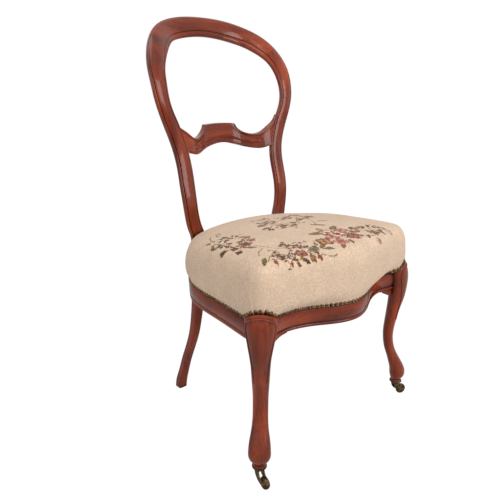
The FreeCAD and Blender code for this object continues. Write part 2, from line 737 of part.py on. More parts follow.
def caster_axle():
    outside = wheel_thick / 2 + side_gap + cheek
    axle_z = wheel_wide / 2
    pin = rod(Vector(trail, -outside, axle_z), Vector(trail, outside, axle_z), axle_wide)
    heads = [
        Part.makeCone(axle_wide * 0.75, axle_wide * 0.4, 1.1, Vector(trail, side * outside, axle_z),
                      Vector(0, side, 0))
        for side in (-1, 1)
    ]
    return pin.fuse(heads).removeSplitter()


def caster_wheel():
    radius = wheel_wide / 2
    half = wheel_thick / 2
    bore = axle_wide / 2 + pin_gap
    p = lambda r, y: Vector(trail + r, y, radius)
    section = Part.Wire([
        segment(p(bore, -half), p(5.0, -half)),
        segment(p(5.0, -half), p(6.2, -half + 1.6)),
        segment(p(6.2, -half + 1.6), p(radius - 2.6, -half + 1.6)),
        segment(p(radius - 2.6, -half + 1.6), p(radius - 1.6, -half + 0.5)),
        arc(p(radius - 1.6, -half + 0.5), p(radius, 0), p(radius - 1.6, half - 0.5)),
        segment(p(radius - 1.6, half - 0.5), p(radius - 2.6, half - 1.6)),
        segment(p(radius - 2.6, half - 1.6), p(6.2, half - 1.6)),
        segment(p(6.2, half - 1.6), p(5.0, half)),
        segment(p(5.0, half), p(bore, half)),
        segment(p(bore, half), p(bore, -half)),
    ])
    return Part.Face(section).revolve(Vector(trail, 0, radius), Vector(0, 1, 0), 360)


# The way each caster stands at rest, as an angle from X seen from above
TRAIL_ANGLE = {"left": -96.0, "right": -18.0}


def at_caster(shape, side, turn):
    placed = shape.copy()
    placed.rotate(Vector(0, 0, 0), Vector(0, 0, 1), turn)
    placed.translate(Vector(side * spread, 0, 0))
    return placed


socket = caster_socket()
sleeve_hole = rod(Vector(spread, 0, leg_bottom - 1), Vector(spread, 0, leg_bottom + sleeve_deep),
                  sleeve_wide)

# The soft layers of the seat
# Each layer's levels are the seat's outline, drawn in or out.
def seat_wire(z, outward, scale=1.0, tilt=0.0):
    """The seat's outline at one level, moved outward and then drawn towards its centre."""
    count = len(SEAT_LINE)
    points = []
    for i, point in enumerate(SEAT_LINE):
        along = (SEAT_LINE[(i + 1) % count] - SEAT_LINE[i - 1]).normalize()
        moved = point + Vector(0, 0, 1).cross(along) * outward
        moved = SEAT_CENTRE + (moved - SEAT_CENTRE) * scale
        moved.z = z - tilt * (moved.y - SEAT_CENTRE.y)
        points.append(moved)
    return Part.Wire([closed_curve(points).toShape()])


cover_low = bottom + show + size("seatgap")
peak = size("crownheight")
tilt = size("crowntilt")
# level, outward, scale, share of the tilt
CROWN = [
    (cover_low, -1.5, 1.0, 0.0),
    (cover_low + 18, 3.5, 1.0, 0.0),
    (cover_low + 42, 8.0, 1.0, 0.3),
    (cover_low + 68, 6.5, 1.0, 0.7),
    (peak - 27, 0.0, 0.98, 1.0),
    (peak - 14, 0.0, 0.88, 1.0),
    (peak - 5, 0.0, 0.67, 1.0),
    (peak - 1, 0.0, 0.42, 1.0),
    (peak, 0.0, 0.16, 1.0),
]


def crowned(skin):
    """The domed seat drawn in by a skin's thickness, down to the level of the rebate."""
    wires = [
        seat_wire(z - (skin if row else 0), out - skin, scale, tilt * share)
        for row, (z, out, scale, share) in enumerate(CROWN)
    ]
    return Part.makeLoft(wires, True, False, False, 3)


cover_thick = size("coverthick")
gap = size("seatgap")
outer_dome = crowned(0.0)
inner_dome = crowned(cover_thick)
cover = cut_by(outer_dome, inner_dome, right_post_blank, left_post_blank, right_front_blank,
               left_front_blank)

hessian_top = size("hessiantop")
hessian_thick = size("hessianthick")


def hessian_dome(grow):
    """The spring hessian's upper face, moved up and out by grow."""
    return Part.makeLoft([
        seat_wire(rail_top + gap, grow, 0.95),
        seat_wire(hessian_top - 9 + grow, grow, 0.84),
        seat_wire(hessian_top + grow, grow, 0.66),
    ], True, False, False, 3)


hessian = cut_by(hessian_dome(0), hessian_dome(-hessian_thick), right_post_blank, left_post_blank,
                 right_front_blank, left_front_blank)
under_rails = box(Vector(-400, -200, rail_top + gap), Vector(400, 500, 600))
stuffing = cut_by(crowned(cover_thick + gap).common(under_rails), hessian_dome(gap),
                  right_post_blank, left_post_blank, right_front_blank, left_front_blank)

# Webbing under the rails, its strips crossing, and the black cloth below it
web_wide = size("webwide")
web_thick = size("webthick")
web_low = bottom - 2 * web_thick
tack_line = Part.Face(seat_wire(web_low, 0, 0.955)).extrude(Vector(0, 0, 2 * web_thick))
webbing_strips = []
for x in (-95, 0, 95):
    low = Vector(x - web_wide / 2, -100, bottom - web_thick)
    webbing_strips.append(box(low, low + Vector(web_wide, 500, web_thick)))
for y in (66, 154, 242):
    low = Vector(-300, y - web_wide / 2, web_low)
    webbing_strips.append(box(low, low + Vector(600, web_wide, web_thick)))
webbing = webbing_strips[0].fuse(webbing_strips[1:]).common(tack_line)
webbing = cut_by(webbing, right_post_blank, left_post_blank, right_front_blank, left_front_blank)

dust_thick = size("dustthick")
dust_low = web_low - dust_thick
dust_cover = Part.Face(seat_wire(dust_low, 0, 0.93)).extrude(Vector(0, 0, dust_thick))
dust_cover = cut_by(dust_cover, right_post_blank, left_post_blank, right_front_blank,
                    left_front_blank)

# Springs
# Four waisted coils stand on the webbing. Each turn is made of tangent arcs, a quarter turn apart.
wire_wide = size("springwire")
spring_low = bottom + wire_wide / 2
spring_high = hessian_top - hessian_thick - gap - wire_wide / 2
turns = int(size("springturns"))


def spring_point(share):
    turn = 2 * math.pi * turns * share
    waist_share = (2 * share - 1) ** 2
    radius = size("springwaist") + (size("springmouth") - size("springwaist")) * waist_share
    rise = spring_low + (spring_high - spring_low) * share
    return Vector(radius * math.cos(turn), radius * math.sin(turn), rise)


def spring_heading(share):
    step = 1e-4
    return (spring_point(share + step) - spring_point(share - step)).normalize()


def tangent_arc(start, apex, end):
    """The arc from start to end whose tangents meet at the apex."""
    chord = (start + end) * 0.5
    rise = apex - chord
    half = (end - start).Length / 2
    sagitta = half * math.tan(math.atan2(rise.Length, half) / 2)
    return arc(start, chord + rise.normalize() * sagitta, end)


def biarc(p0, t0, p1, t1):
    gap_line = p1 - p0
    both = t0 + t1
    a = 2 * (1 - t0.dot(t1))
    b = 2 * gap_line.dot(both)
    reach = (-b + math.sqrt(b * b + 4 * a * gap_line.dot(gap_line))) / (2 * a)
    q0 = p0 + t0 * reach
    q1 = p1 - t1 * reach
    middle = (q0 + q1) * 0.5
    return [tangent_arc(p0, q0, middle), tangent_arc(middle, q1, p1)]


def coil_spring():
    quarters = turns * 4
    shares = [i / quarters for i in range(quarters + 1)]
    edges = []
    for a, b in zip(shares, shares[1:]):
        edges += biarc(spring_point(a), spring_heading(a), spring_point(b), spring_heading(b))
    path = Part.Wire(edges)
    circle = Part.Wire([Part.Circle(spring_point(0), spring_heading(0), wire_wide / 2).toShape()])
    return path.makePipeShell([circle], True, False)


spring = coil_spring()
springs = []
for x in (-82, 82):
    for y in (92, 216):
        copy = spring.copy()
        copy.translate(Vector(x, y, 0))
        springs.append(copy)


def spring_clearance():
    """Least distance between turns, less the wire, measured on points."""
    count = 60 * turns
    points = [spring_point(i / count) for i in range(count + 1)]
    apart = 30
    least = min(
        points[i].distanceToPoint(points[j])
        for i in range(len(points)) for j in range(i + apart, len(points))
    )
    return least - wire_wide


print("spring least gap between turns: %.2f mm" % spring_clearance())

# The finished pieces
right_post = cut_by(right_post_blank, *every_dowel)
left_post = mirrored(right_post)
crest = cut_by(crest_blank, *crest_dowels)
mid_rail = cut_by(mid_rail, *mid_dowels)
back_rail = cut_by(back_rail, *(back_dowels + block_screws))
right_side = cut_by(right_side, *(side_dowels + block_screws))
left_side = mirrored(right_side)
front_rail = cut_by(front_rail, *(front_dowels + block_screws))
right_front = cut_by(right_front_blank, sleeve_hole, *(side_dowels + front_dowels))
left_front = mirrored(right_front)
rear_block = cut_by(rear_block, *(block_screws + side_dowels))
front_block = cut_by(front_block, *(block_screws + side_dowels + front_dowels))


def group(shapes):
    return Part.makeCompound(shapes)


feature("left_rear_post", left_post)
feature("right_rear_post", right_post)
feature("crest_rail", crest)
feature("mid_rail", mid_rail)
feature("back_seat_rail", back_rail)
feature("left_side_rail", left_side)
feature("right_side_rail", right_side)
feature("front_seat_rail", front_rail)
feature("left_front_leg", left_front)
feature("right_front_leg", right_front)
feature("left_rear_corner_block", mirrored(rear_block))
feature("right_rear_corner_block", rear_block)
feature("left_front_corner_block", mirrored(front_block))
feature("right_front_corner_block", front_block)
feature("corner_block_screws", group(block_screws))
feature("crest_dowels", group(crest_dowels))
feature("mid_rail_dowels", group(mid_dowels))
feature("back_rail_dowels", group(back_dowels))
feature("side_rail_dowels", group(side_dowels))
feature("front_rail_dowels", group(front_dowels))
feature("seat_webbing", webbing)
feature("coil_springs", group(springs))
feature("spring_hessian", hessian)
feature("seat_stuffing", stuffing)
feature("seat_cover", cover)
feature("dust_cover", dust_cover)
for name, side in (("left", -1), ("right", 1)):
    turn = TRAIL_ANGLE[name]
    feature(name + "_caster_socket", at_caster(socket, side, 0))
    feature(name + "_caster_horn", at_caster(caster_horn(), side, turn))
    feature(name + "_caster_axle", at_caster(caster_axle(), side, turn))
    feature(name + "_caster_wheel", at_caster(caster_wheel(), side, turn))

doc.recompute()
for item in doc.Objects:
    if "Invalid" in item.State or "Error" in item.State:
        raise RuntimeError("%s failed: %s" % (item.Label, item.State))
for piece in nodes:
    if piece.Shape.isNull() or not piece.Shape.isValid() or not piece.Shape.Solids:
        raise RuntimeError("%s has no valid solid" % piece.Label)
for piece in nodes:
    piece.Shape.exportStep("parts/%s.step" % piece.Label)

whole = Part.makeCompound([piece.Shape for piece in nodes]).BoundBox
print("box x %.1f %.1f y %.1f %.1f z %.1f %.1f" % (
    whole.XMin, whole.XMax, whole.YMin, whole.YMax, whole.ZMin, whole.ZMax))
for name, side in (("left", -1), ("right", 1)):
    turn = math.radians(TRAIL_ANGLE[name])
    print(name, "wheel axis at %.3f %.3f %.3f along %.4f %.4f" % (
        side * spread + trail * math.cos(turn), trail * math.sin(turn) - size("originsetback"),
        wheel_wide / 2, -math.sin(turn), math.cos(turn)))
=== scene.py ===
import math
import random

import bmesh
import bpy
import numpy as np
from mathutils import Matrix, Vector, kdtree
from mathutils.bvhtree import BVHTree


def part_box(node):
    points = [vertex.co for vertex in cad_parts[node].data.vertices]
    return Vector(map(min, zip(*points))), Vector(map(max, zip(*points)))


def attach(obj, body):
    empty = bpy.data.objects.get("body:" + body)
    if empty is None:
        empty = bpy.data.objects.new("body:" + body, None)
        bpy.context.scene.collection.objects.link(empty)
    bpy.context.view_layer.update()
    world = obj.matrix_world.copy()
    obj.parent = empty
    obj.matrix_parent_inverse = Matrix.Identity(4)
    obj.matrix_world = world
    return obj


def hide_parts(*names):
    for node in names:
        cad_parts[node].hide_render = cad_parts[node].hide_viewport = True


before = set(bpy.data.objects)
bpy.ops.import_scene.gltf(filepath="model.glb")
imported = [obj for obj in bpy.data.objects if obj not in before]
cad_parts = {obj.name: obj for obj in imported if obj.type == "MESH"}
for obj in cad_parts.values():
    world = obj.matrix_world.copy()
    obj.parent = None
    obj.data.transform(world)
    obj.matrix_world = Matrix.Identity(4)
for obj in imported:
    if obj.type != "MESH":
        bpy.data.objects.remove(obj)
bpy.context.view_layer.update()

# The photographer's view
# The camera stands in front of the chair's left side, a little above the seat, and looks down at it.
# The lens is a moderate wide one and the frame is level, with no shift.
camera_data = bpy.data.cameras.new("view")
camera_data.sensor_fit = "HORIZONTAL"
camera_data.sensor_width = 36
camera_data.lens = 36.36
camera = bpy.data.objects.new("view", camera_data)
camera.location = (-0.7624, -0.8050, 0.7347)
camera.rotation_euler = (math.radians(90 - 17.94), 0, math.radians(-40.93))
bpy.context.scene.collection.objects.link(camera)
bpy.context.scene.camera = camera
bpy.context.scene.view_settings.view_transform = "Standard"


# The room
# A pale floor and soft lamps: a broad one overhead, the strongest before the seat, a weak one at the
# left, and a white surround that the polish reflects.
def lamp(name, place, target, size, power):
    """A square soft lamp turned to its target."""
    data = bpy.data.lights.new(name, "AREA")
    data.shape = "SQUARE"
    data.size = size
    data.energy = power
    light = bpy.data.objects.new(name, data)
    light.location = place
    light.rotation_euler = (Vector(target) - Vector(place)).to_track_quat("-Z", "Y").to_euler()
    bpy.context.scene.collection.objects.link(light)


lamp("overhead", (-0.2, -0.3, 2.6), (0, 0, 0.4), 1.6, 22)
lamp("front", (0.5, -2.5, 1.5), (0, 0, 0.45), 1.4, 33)
lamp("left", (-2.4, -0.6, 1.6), (0, 0, 0.5), 1.0, 13)

world = bpy.data.worlds.new("white_room")
bpy.context.scene.world = world
world.use_nodes = True
sky = world.node_tree
sky.nodes.clear()
sky_path = sky.nodes.new("ShaderNodeLightPath")
seen = sky.nodes.new("ShaderNodeMath")
seen.operation = "MAXIMUM"
seen_too = sky.nodes.new("ShaderNodeMath")
seen_too.operation = "MAXIMUM"
strength = sky.nodes.new("ShaderNodeMapRange")
strength.inputs["To Min"].default_value = 0.35
strength.inputs["To Max"].default_value = 1.0
surround = sky.nodes.new("ShaderNodeBackground")
surround.inputs["Color"].default_value = (1, 1, 1, 1)
sky_output = sky.nodes.new("ShaderNodeOutputWorld")
sky.links.new(sky_path.outputs["Is Camera Ray"], seen.inputs[0])
sky.links.new(sky_path.outputs["Is Glossy Ray"], seen.inputs[1])
sky.links.new(seen.outputs[0], seen_too.inputs[0])
sky.links.new(sky_path.outputs["Is Transmission Ray"], seen_too.inputs[1])
sky.links.new(seen_too.outputs[0], strength.inputs["Value"])
sky.links.new(strength.outputs[0], surround.inputs["Strength"])
sky.links.new(surround.outputs[0], sky_output.inputs["Surface"])

floor_mesh = bpy.data.meshes.new("floor")
floor_form = bmesh.new()
bmesh.ops.create_grid(floor_form, x_segments=1, y_segments=1, size=6)
floor_form.to_mesh(floor_mesh)
floor = bpy.data.objects.new("floor", floor_mesh)
bpy.context.scene.collection.objects.link(floor)
floor_paint = bpy.data.materials.new("pale_floor")
floor_paint.use_nodes = True
floor_tree = floor_paint.node_tree
floor_tree.nodes.clear()
matt = floor_tree.nodes.new("ShaderNodeBsdfDiffuse")
matt.inputs["Color"].default_value = (0.8, 0.8, 0.8, 1)
glow = floor_tree.nodes.new("ShaderNodeEmission")
glow.inputs["Strength"].default_value = 1.06
floor_path = floor_tree.nodes.new("ShaderNodeLightPath")
whiten = floor_tree.nodes.new("ShaderNodeMath")
whiten.operation = "MULTIPLY"
whiten.inputs[1].default_value = 0.95
blend = floor_tree.nodes.new("ShaderNodeMixShader")
floor_output = floor_tree.nodes.new("ShaderNodeOutputMaterial")
floor_tree.links.new(floor_path.outputs["Is Camera Ray"], whiten.inputs[0])
floor_tree.links.new(whiten.outputs[0], blend.inputs["Fac"])
floor_tree.links.new(matt.outputs[0], blend.inputs[1])
floor_tree.links.new(glow.outputs[0], blend.inputs[2])
floor_tree.links.new(blend.outputs[0], floor_output.inputs["Surface"])
floor_mesh.materials.append(floor_paint)


# The polished frame
# Posts, crest, rails and legs are one reddish-brown hardwood, its grain along each piece, under a
# French polish. Painted shade darkens the colour in the grooves and hollows.
def grain_nodes(tree, along, darks, lights):
    """Colour and height of straight-grained wood whose grain runs along X, Y or Z."""
    nodes = tree.nodes
    links = tree.links
    place = nodes.new("ShaderNodeTexCoord")
    stretch = nodes.new("ShaderNodeMapping")
    stretch.inputs["Scale"].default_value = [0.06 if axis == along else 1.0 for axis in "XYZ"]
    links.new(place.outputs["Object"], stretch.inputs["Vector"])
    figure = nodes.new("ShaderNodeTexNoise")
    figure.inputs["Scale"].default_value = 42
    figure.inputs["Detail"].default_value = 5
    figure.inputs["Distortion"].default_value = 0.6
    links.new(stretch.outputs[0], figure.inputs["Vector"])
    pores = nodes.new("ShaderNodeTexNoise")
    pores.inputs["Scale"].default_value = 420
    pores.inputs["Detail"].default_value = 2
    links.new(stretch.outputs[0], pores.inputs["Vector"])
    cloud = nodes.new("ShaderNodeTexNoise")
    cloud.inputs["Scale"].default_value = 9
    links.new(place.outputs["Object"], cloud.inputs["Vector"])
    tone = nodes.new("ShaderNodeValToRGB")
    tone.color_ramp.elements[0].position = 0.26
    tone.color_ramp.elements[0].color = (*darks, 1)
    tone.color_ramp.elements[1].position = 0.74
    tone.color_ramp.elements[1].color = (*lights, 1)
    links.new(figure.outputs["Fac"], tone.inputs["Fac"])
    streak = nodes.new("ShaderNodeMapRange")
    streak.inputs["From Min"].default_value = 0.52
    streak.inputs["From Max"].default_value = 0.72
    streak.inputs["To Min"].default_value = 1.0
    streak.inputs["To Max"].default_value = 0.62
    links.new(pores.outputs["Fac"], streak.inputs["Value"])
    shade = nodes.new("ShaderNodeMapRange")
    shade.inputs["From Min"].default_value = 0.3
    shade.inputs["From Max"].default_value = 0.7
    shade.inputs["To Min"].default_value = 0.66
    shade.inputs["To Max"].default_value = 1.25
    links.new(cloud.outputs["Fac"], shade.inputs["Value"])
    both = nodes.new("ShaderNodeMath")
    both.operation = "MULTIPLY"
    links.new(streak.outputs[0], both.inputs[0])
    links.new(shade.outputs[0], both.inputs[1])
    final = nodes.new("ShaderNodeMix")
    final.data_type = "RGBA"
    final.blend_type = "MULTIPLY"
    final.inputs[0].default_value = 1.0
    links.new(tone.outputs["Color"], final.inputs[6])
    links.new(both.outputs[0], final.inputs[7])
    return final.outputs[2], pores.outputs["Fac"], figure.outputs["Fac"]


def polished_wood(along):
    """The frame's hardwood under French polish, with painted shade darkening its colour in the hollows."""
    paint = bpy.data.materials.new("polished_mahogany_" + along.lower())
    paint.use_nodes = True
    tree = paint.node_tree
    shader = tree.nodes["Principled BSDF"]
    colour, pores, figure = grain_nodes(tree, along, (0.125, 0.0155, 0.0050), (0.325, 0.048, 0.0110))
    # Painted shade: ambient occlusion darkens the base colour in the grooves and hollows, standing in for
    # the shade that falls there.
    hollow = tree.nodes.new("ShaderNodeAmbientOcclusion")
    hollow.samples = 8
    hollow.inputs["Distance"].default_value = 0.009
    painted_groove_shade = tree.nodes.new("ShaderNodeMapRange")
    painted_groove_shade.inputs["From Min"].default_value = 0.45
    painted_groove_shade.inputs["From Max"].default_value = 0.97
    painted_groove_shade.inputs["To Min"].default_value = 0.14
    painted_groove_shade.inputs["To Max"].default_value = 1.0
    tree.links.new(hollow.outputs["AO"], painted_groove_shade.inputs["Value"])
    groove_shaded_colour = tree.nodes.new("ShaderNodeMix")
    groove_shaded_colour.data_type = "RGBA"
    groove_shaded_colour.blend_type = "MULTIPLY"
    groove_shaded_colour.inputs[0].default_value = 1.0
    tree.links.new(colour, groove_shaded_colour.inputs[6])
    tree.links.new(painted_groove_shade.outputs[0], groove_shaded_colour.inputs[7])
    tree.links.new(groove_shaded_colour.outputs[2], shader.inputs["Base Color"])
    sheen = tree.nodes.new("ShaderNodeMapRange")
    sheen.inputs["To Min"].default_value = 0.16
    sheen.inputs["To Max"].default_value = 0.30
    tree.links.new(figure, sheen.inputs["Value"])
    tree.links.new(sheen.outputs[0], shader.inputs["Roughness"])
    shader.inputs["Specular IOR Level"].default_value = 0.16
    shader.inputs["Coat Weight"].default_value = 0.30
    shader.inputs["Coat Roughness"].default_value = 0.05
    relief = tree.nodes.new("ShaderNodeBump")
    relief.inputs["Strength"].default_value = 0.08
    relief.inputs["Distance"].default_value = 0.0004
    tree.links.new(pores, relief.inputs["Height"])
    tree.links.new(relief.outputs[0], shader.inputs["Normal"])
    return paint


def finish_node(name, paint):
    """Give a piece of the frame its finish."""
    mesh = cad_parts[name].data
    mesh.materials.clear()
    mesh.materials.append(paint)


upright_wood = polished_wood("Z")
crosswise_wood = polished_wood("X")
fore_and_aft_wood = polished_wood("Y")
for name in ("left_rear_post", "right_rear_post", "left_front_leg", "right_front_leg"):
    finish_node(name, upright_wood)
for name in ("crest_rail", "mid_rail", "front_seat_rail", "back_seat_rail"):
    finish_node(name, crosswise_wood)
for name in ("left_side_rail", "right_side_rail"):
    finish_node(name, fore_and_aft_wood)


# The hidden joinery
# Blocks are screwed into the corners and dowels are glued across the joints. They are plain pale
# hardwood, sawn and not polished, and the screws are steel.
def plain_wood(along):
    """Sawn beech without polish."""
    paint = bpy.data.materials.new("sawn_beech_" + along.lower())
    paint.use_nodes = True
    tree = paint.node_tree
    shader = tree.nodes["Principled BSDF"]
    colour, pores, figure = grain_nodes(tree, along, (0.30, 0.16, 0.07), (0.50, 0.31, 0.16))
    tree.links.new(colour, shader.inputs["Base Color"])
    shader.inputs["Roughness"].default_value = 0.75
    relief = tree.nodes.new("ShaderNodeBump")
    relief.inputs["Strength"].default_value = 0.4
    relief.inputs["Distance"].default_value = 0.0005
    tree.links.new(pores, relief.inputs["Height"])
    tree.links.new(relief.outputs[0], shader.inputs["Normal"])
    return paint


beech = plain_wood("X")
for name in ("left_rear_corner_block", "right_rear_corner_block", "left_front_corner_block",
             "right_front_corner_block", "crest_dowels", "mid_rail_dowels", "back_rail_dowels",
             "side_rail_dowels", "front_rail_dowels"):
    finish_node(name, beech)


def metal(name, dark, light, rough_low, rough_high, scale):
    """Cast or drawn metal, darker and duller where it is tarnished."""
    paint = bpy.data.materials.new(name)
    paint.use_nodes = True
    tree = paint.node_tree
    shader = tree.nodes["Principled BSDF"]
    shader.inputs["Metallic"].default_value = 1.0
    place = tree.nodes.new("ShaderNodeTexCoord")
    tarnish = tree.nodes.new("ShaderNodeTexNoise")
    tarnish.inputs["Scale"].default_value = scale
    tarnish.inputs["Detail"].default_value = 6
    tree.links.new(place.outputs["Object"], tarnish.inputs["Vector"])
    tone = tree.nodes.new("ShaderNodeValToRGB")
    tone.color_ramp.elements[0].position = 0.35
    tone.color_ramp.elements[0].color = (*dark, 1)
    tone.color_ramp.elements[1].position = 0.65
    tone.color_ramp.elements[1].color = (*light, 1)
    tree.links.new(tarnish.outputs["Fac"], tone.inputs["Fac"])
    tree.links.new(tone.outputs["Color"], shader.inputs["Base Color"])
    dull = tree.nodes.new("ShaderNodeMapRange")
    dull.inputs["To Min"].default_value = rough_high
    dull.inputs["To Max"].default_value = rough_low
    tree.links.new(tarnish.outputs["Fac"], dull.inputs["Value"])
    tree.links.new(dull.outputs[0], shader.inputs["Roughness"])
    relief = tree.nodes.new("ShaderNodeBump")
    relief.inputs["Strength"].default_value = 0.15
    relief.inputs["Distance"].default_value = 0.0003
    tree.links.new(tarnish.outputs["Fac"], relief.inputs["Height"])
    tree.links.new(relief.outputs[0], shader.inputs["Normal"])
    return paint


steel = metal("grey_steel", (0.16, 0.15, 0.14), (0.40, 0.39, 0.38), 0.3, 0.55, 150)
finish_node("corner_block_screws", steel)
finish_node("coil_springs", steel)

# The casters
# Cast and turned brass, brown with age: a flanged sleeve in the foot, a swivelling horn, and a wheel
# on a riveted axle.
old_brass = metal("aged_brass", (0.035, 0.023, 0.014), (0.17, 0.105, 0.048), 0.28, 0.6, 160)
for side in ("left", "right"):
    for part in ("socket", "horn", "axle", "wheel"):
        finish_node("%s_caster_%s" % (side, part), old_brass)

# The seat's outlines
# Two closed lines on which the cover is built: the nailed edge, which follows the rails and goes out
# round the two knees, and the fullest part of the stuffing above it, whose front is one gentle curve.
FRONT_AXIS = 0.2152
SHOW_TOP = 0.3295
KNEE_TOP = 0.3550
# nailed edge x, y and height, then fullest part x, y, from the middle of the front to the back
SEAT_HALF = [
    (0, -0.0355, SHOW_TOP, 0, -0.0450),
    (0.030, -0.0305, SHOW_TOP, 0.032, -0.0435),
    (0.060, -0.0175, SHOW_TOP, 0.062, -0.0385),
    (0.090, -0.0015, SHOW_TOP, 0.092, -0.0320),
    (0.122, 0.0105, SHOW_TOP, 0.122, -0.0245),
    (0.150, 0.0140, SHOW_TOP, 0.150, -0.0180),
    (0.172, 0.0120, SHOW_TOP + 0.001, 0.172, -0.0130),
    (0.186, -0.0010, KNEE_TOP - 0.017, 0.188, -0.0095),
    (0.195, -0.0030, KNEE_TOP - 0.012, 0.200, -0.0060),
    (0.206, -0.0010, KNEE_TOP - 0.0035, 0.211, -0.0015),
    (0.220, 0.0070, KNEE_TOP, 0.2215, 0.0060),
    (0.228, 0.0210, KNEE_TOP - 0.0045, 0.2295, 0.0190),
    (0.230, 0.0360, KNEE_TOP - 0.015, 0.2325, 0.0340),
    (0.222, 0.0500, SHOW_TOP + 0.001, 0.2315, 0.0520),
    (0.219, 0.0750, SHOW_TOP, 0.2285, 0.0750),
    (0.2145, 0.1260, SHOW_TOP, 0.2235, 0.1260),
    (0.2115, 0.1680, SHOW_TOP, 0.2205, 0.1680),
    (0.207, 0.2130, SHOW_TOP, 0.2160, 0.2140),
    (0.1955, 0.2560, SHOW_TOP, 0.2040, 0.2600),
    (0.175, 0.2925, SHOW_TOP, 0.1810, 0.2980),
    (0.147, 0.3255, SHOW_TOP, 0.1510, 0.3320),
    (0.113, 0.3365, SHOW_TOP, 0.1140, 0.3450),
    (0.070, 0.3395, SHOW_TOP, 0.0700, 0.3480),
    (0, 0.3395, SHOW_TOP, 0, 0.3480),
]


def closed_line(points):
    """A smooth closed line through the points, as many points to each stretch."""
    data = bpy.data.curves.new("outline", "CURVE")
    data.dimensions = "3D"
    data.resolution_u = 16
    line = data.splines.new("BEZIER")
    line.bezier_points.add(len(points) - 1)
    for point, place in zip(line.bezier_points, points):
        point.co = place
        point.handle_left_type = "AUTO"
        point.handle_right_type = "AUTO"
    line.use_cyclic_u = True
    holder = bpy.data.objects.new("outline", data)
    mesh = bpy.data.meshes.new_from_object(holder)
    result = np.array([v.co for v in mesh.vertices])
    bpy.data.objects.remove(holder)
    return result


def outward_of(line):
    """The level normal of a closed line that runs from the front to the right side."""
    along = np.roll(line, -1, axis=0) - np.roll(line, 1, axis=0)
    across = np.stack([along[:, 1], -along[:, 0], np.zeros(len(line))], axis=1)
    return across / np.linalg.norm(across, axis=1, keepdims=True)


seat_rows = SEAT_HALF + [(-x, y, z, -full_x, full_y) for x, y, z, full_x, full_y in SEAT_HALF[-2:0:-1]]
nailed_edge = closed_line([(x, y - FRONT_AXIS, z) for x, y, z, full_x, full_y in seat_rows])
fullest = closed_line([(x, y - FRONT_AXIS, 0) for edge_x, edge_y, z, x, y in seat_rows])
fullest_outward = outward_of(fullest)

# The seat cover
# Needlepoint canvas over a stuffed and sprung seat. It is drawn down over the rails, nailed along the
# rebate and over the knees, pleated at the two front corners, and fits closely round the posts.
FULL_HEIGHT = 0.370
CROWN = 0.4493
SEAT_MIDDLE = np.array([0, 0.155 - FRONT_AXIS, 0])
TILT = 0.050
HALF_WIDE = 0.20
HALF_DEEP = 0.18
BACK_CORNER_DROP = 0.032
FRONT_CORNER_DROP = 0.006
VOXEL = 0.0020
# share of the way from the nailed edge up to the fullest part, and out to it
SKIRT = [
    (0.0, 0.0),
    (0.10, 0.02),
    (0.20, 0.07),
    (0.30, 0.22),
    (0.42, 0.48),
    (0.56, 0.72),
    (0.70, 0.87),
    (0.85, 0.96),
]
# height, outward, share of the plan, share of the fall
DOME = [
    (FULL_HEIGHT, 0.0, 1.0, 0.2),
    (0.386, -0.0003, 1.0, 0.5),
    (0.401, -0.0020, 1.0, 0.8),
    (0.413, -0.0050, 1.0, 1.0),
    (0.4225, -0.0095, 1.0, 1.0),
    (0.430, -0.0155, 1.0, 1.0),
    (0.4345, -0.0220, 1.0, 1.0),
    (0.4378, -0.0220, 0.95, 1.0),
    (0.4408, -0.0220, 0.88, 1.0),
    (0.4433, -0.0220, 0.78, 1.0),
    (0.4455, -0.0220, 0.65, 1.0),
    (0.4472, -0.0220, 0.50, 1.0),
    (0.4484, -0.0220, 0.34, 1.0),
    (0.4491, -0.0220, 0.18, 1.0),
    (CROWN, -0.0220, 0.05, 1.0),
]


def fall(ring):
    """How much lower the stuffing lies: towards the back, and towards the corners by the posts."""
    back = (ring[:, 1] - SEAT_MIDDLE[1]) / HALF_DEEP
    corner = (ring[:, 0] / HALF_WIDE) ** 2 * np.clip(back, -1, 1) ** 2
    return TILT * HALF_DEEP * back + corner * np.where(back > 0, BACK_CORNER_DROP, FRONT_CORNER_DROP)


def skirt_ring(rise, reach):
    """A line round the lower side of the cover."""
    ring = nailed_edge + (fullest - nailed_edge) * reach
    ring[:, 2] = nailed_edge[:, 2] + (FULL_HEIGHT - nailed_edge[:, 2]) * rise
    ring[:, 2] -= fall(ring) * 0.2 * rise
    return ring


def dome_ring(height, outward, share, settled):
    """A line round the upper side or the top of the cover."""
    ring = fullest + fullest_outward * outward
    ring = SEAT_MIDDLE + (ring - SEAT_MIDDLE) * share
    ring[:, 2] = height - settled * fall(ring)
    return ring


def under_ring(inset, share, height):
    """The underside, which sits in the rebate and is hollow over the springs."""
    ring = nailed_edge - outward_of(nailed_edge * (1, 1, 0)) * inset
    ring = SEAT_MIDDLE + (ring - SEAT_MIDDLE) * share
    ring[:, 2] = np.maximum(nailed_edge[:, 2], height)
    return ring


SEWN_IN = 0.0042
UNDERSIDE = [
    (SEWN_IN, 0.10, 0.3800),
    (SEWN_IN, 0.45, 0.3800),
    (SEWN_IN, 0.72, 0.3795),
    (SEWN_IN, 0.82, 0.3710),
    (SEWN_IN, 0.90, 0.3512),
    (SEWN_IN, 1.0, 0.3508),
    (SEWN_IN, 1.0, SHOW_TOP),
]
cover_rings = [under_ring(*row) for row in UNDERSIDE]
cover_rings += [skirt_ring(*row) for row in SKIRT] + [dome_ring(*row) for row in DOME]
form = bmesh.new()
below = [form.verts.new(place) for place in cover_rings[0]]
form.faces.new(below[::-1])
for ring in cover_rings[1:]:
    above = [form.verts.new(place) for place in ring]
    for i in range(len(above)):
        form.faces.new((below[i - 1], below[i], above[i], above[i - 1]))
    below = above
form.faces.new(below)
cover_mesh = bpy.data.meshes.new("needlepoint_cover")
form.to_mesh(cover_mesh)
form.free()
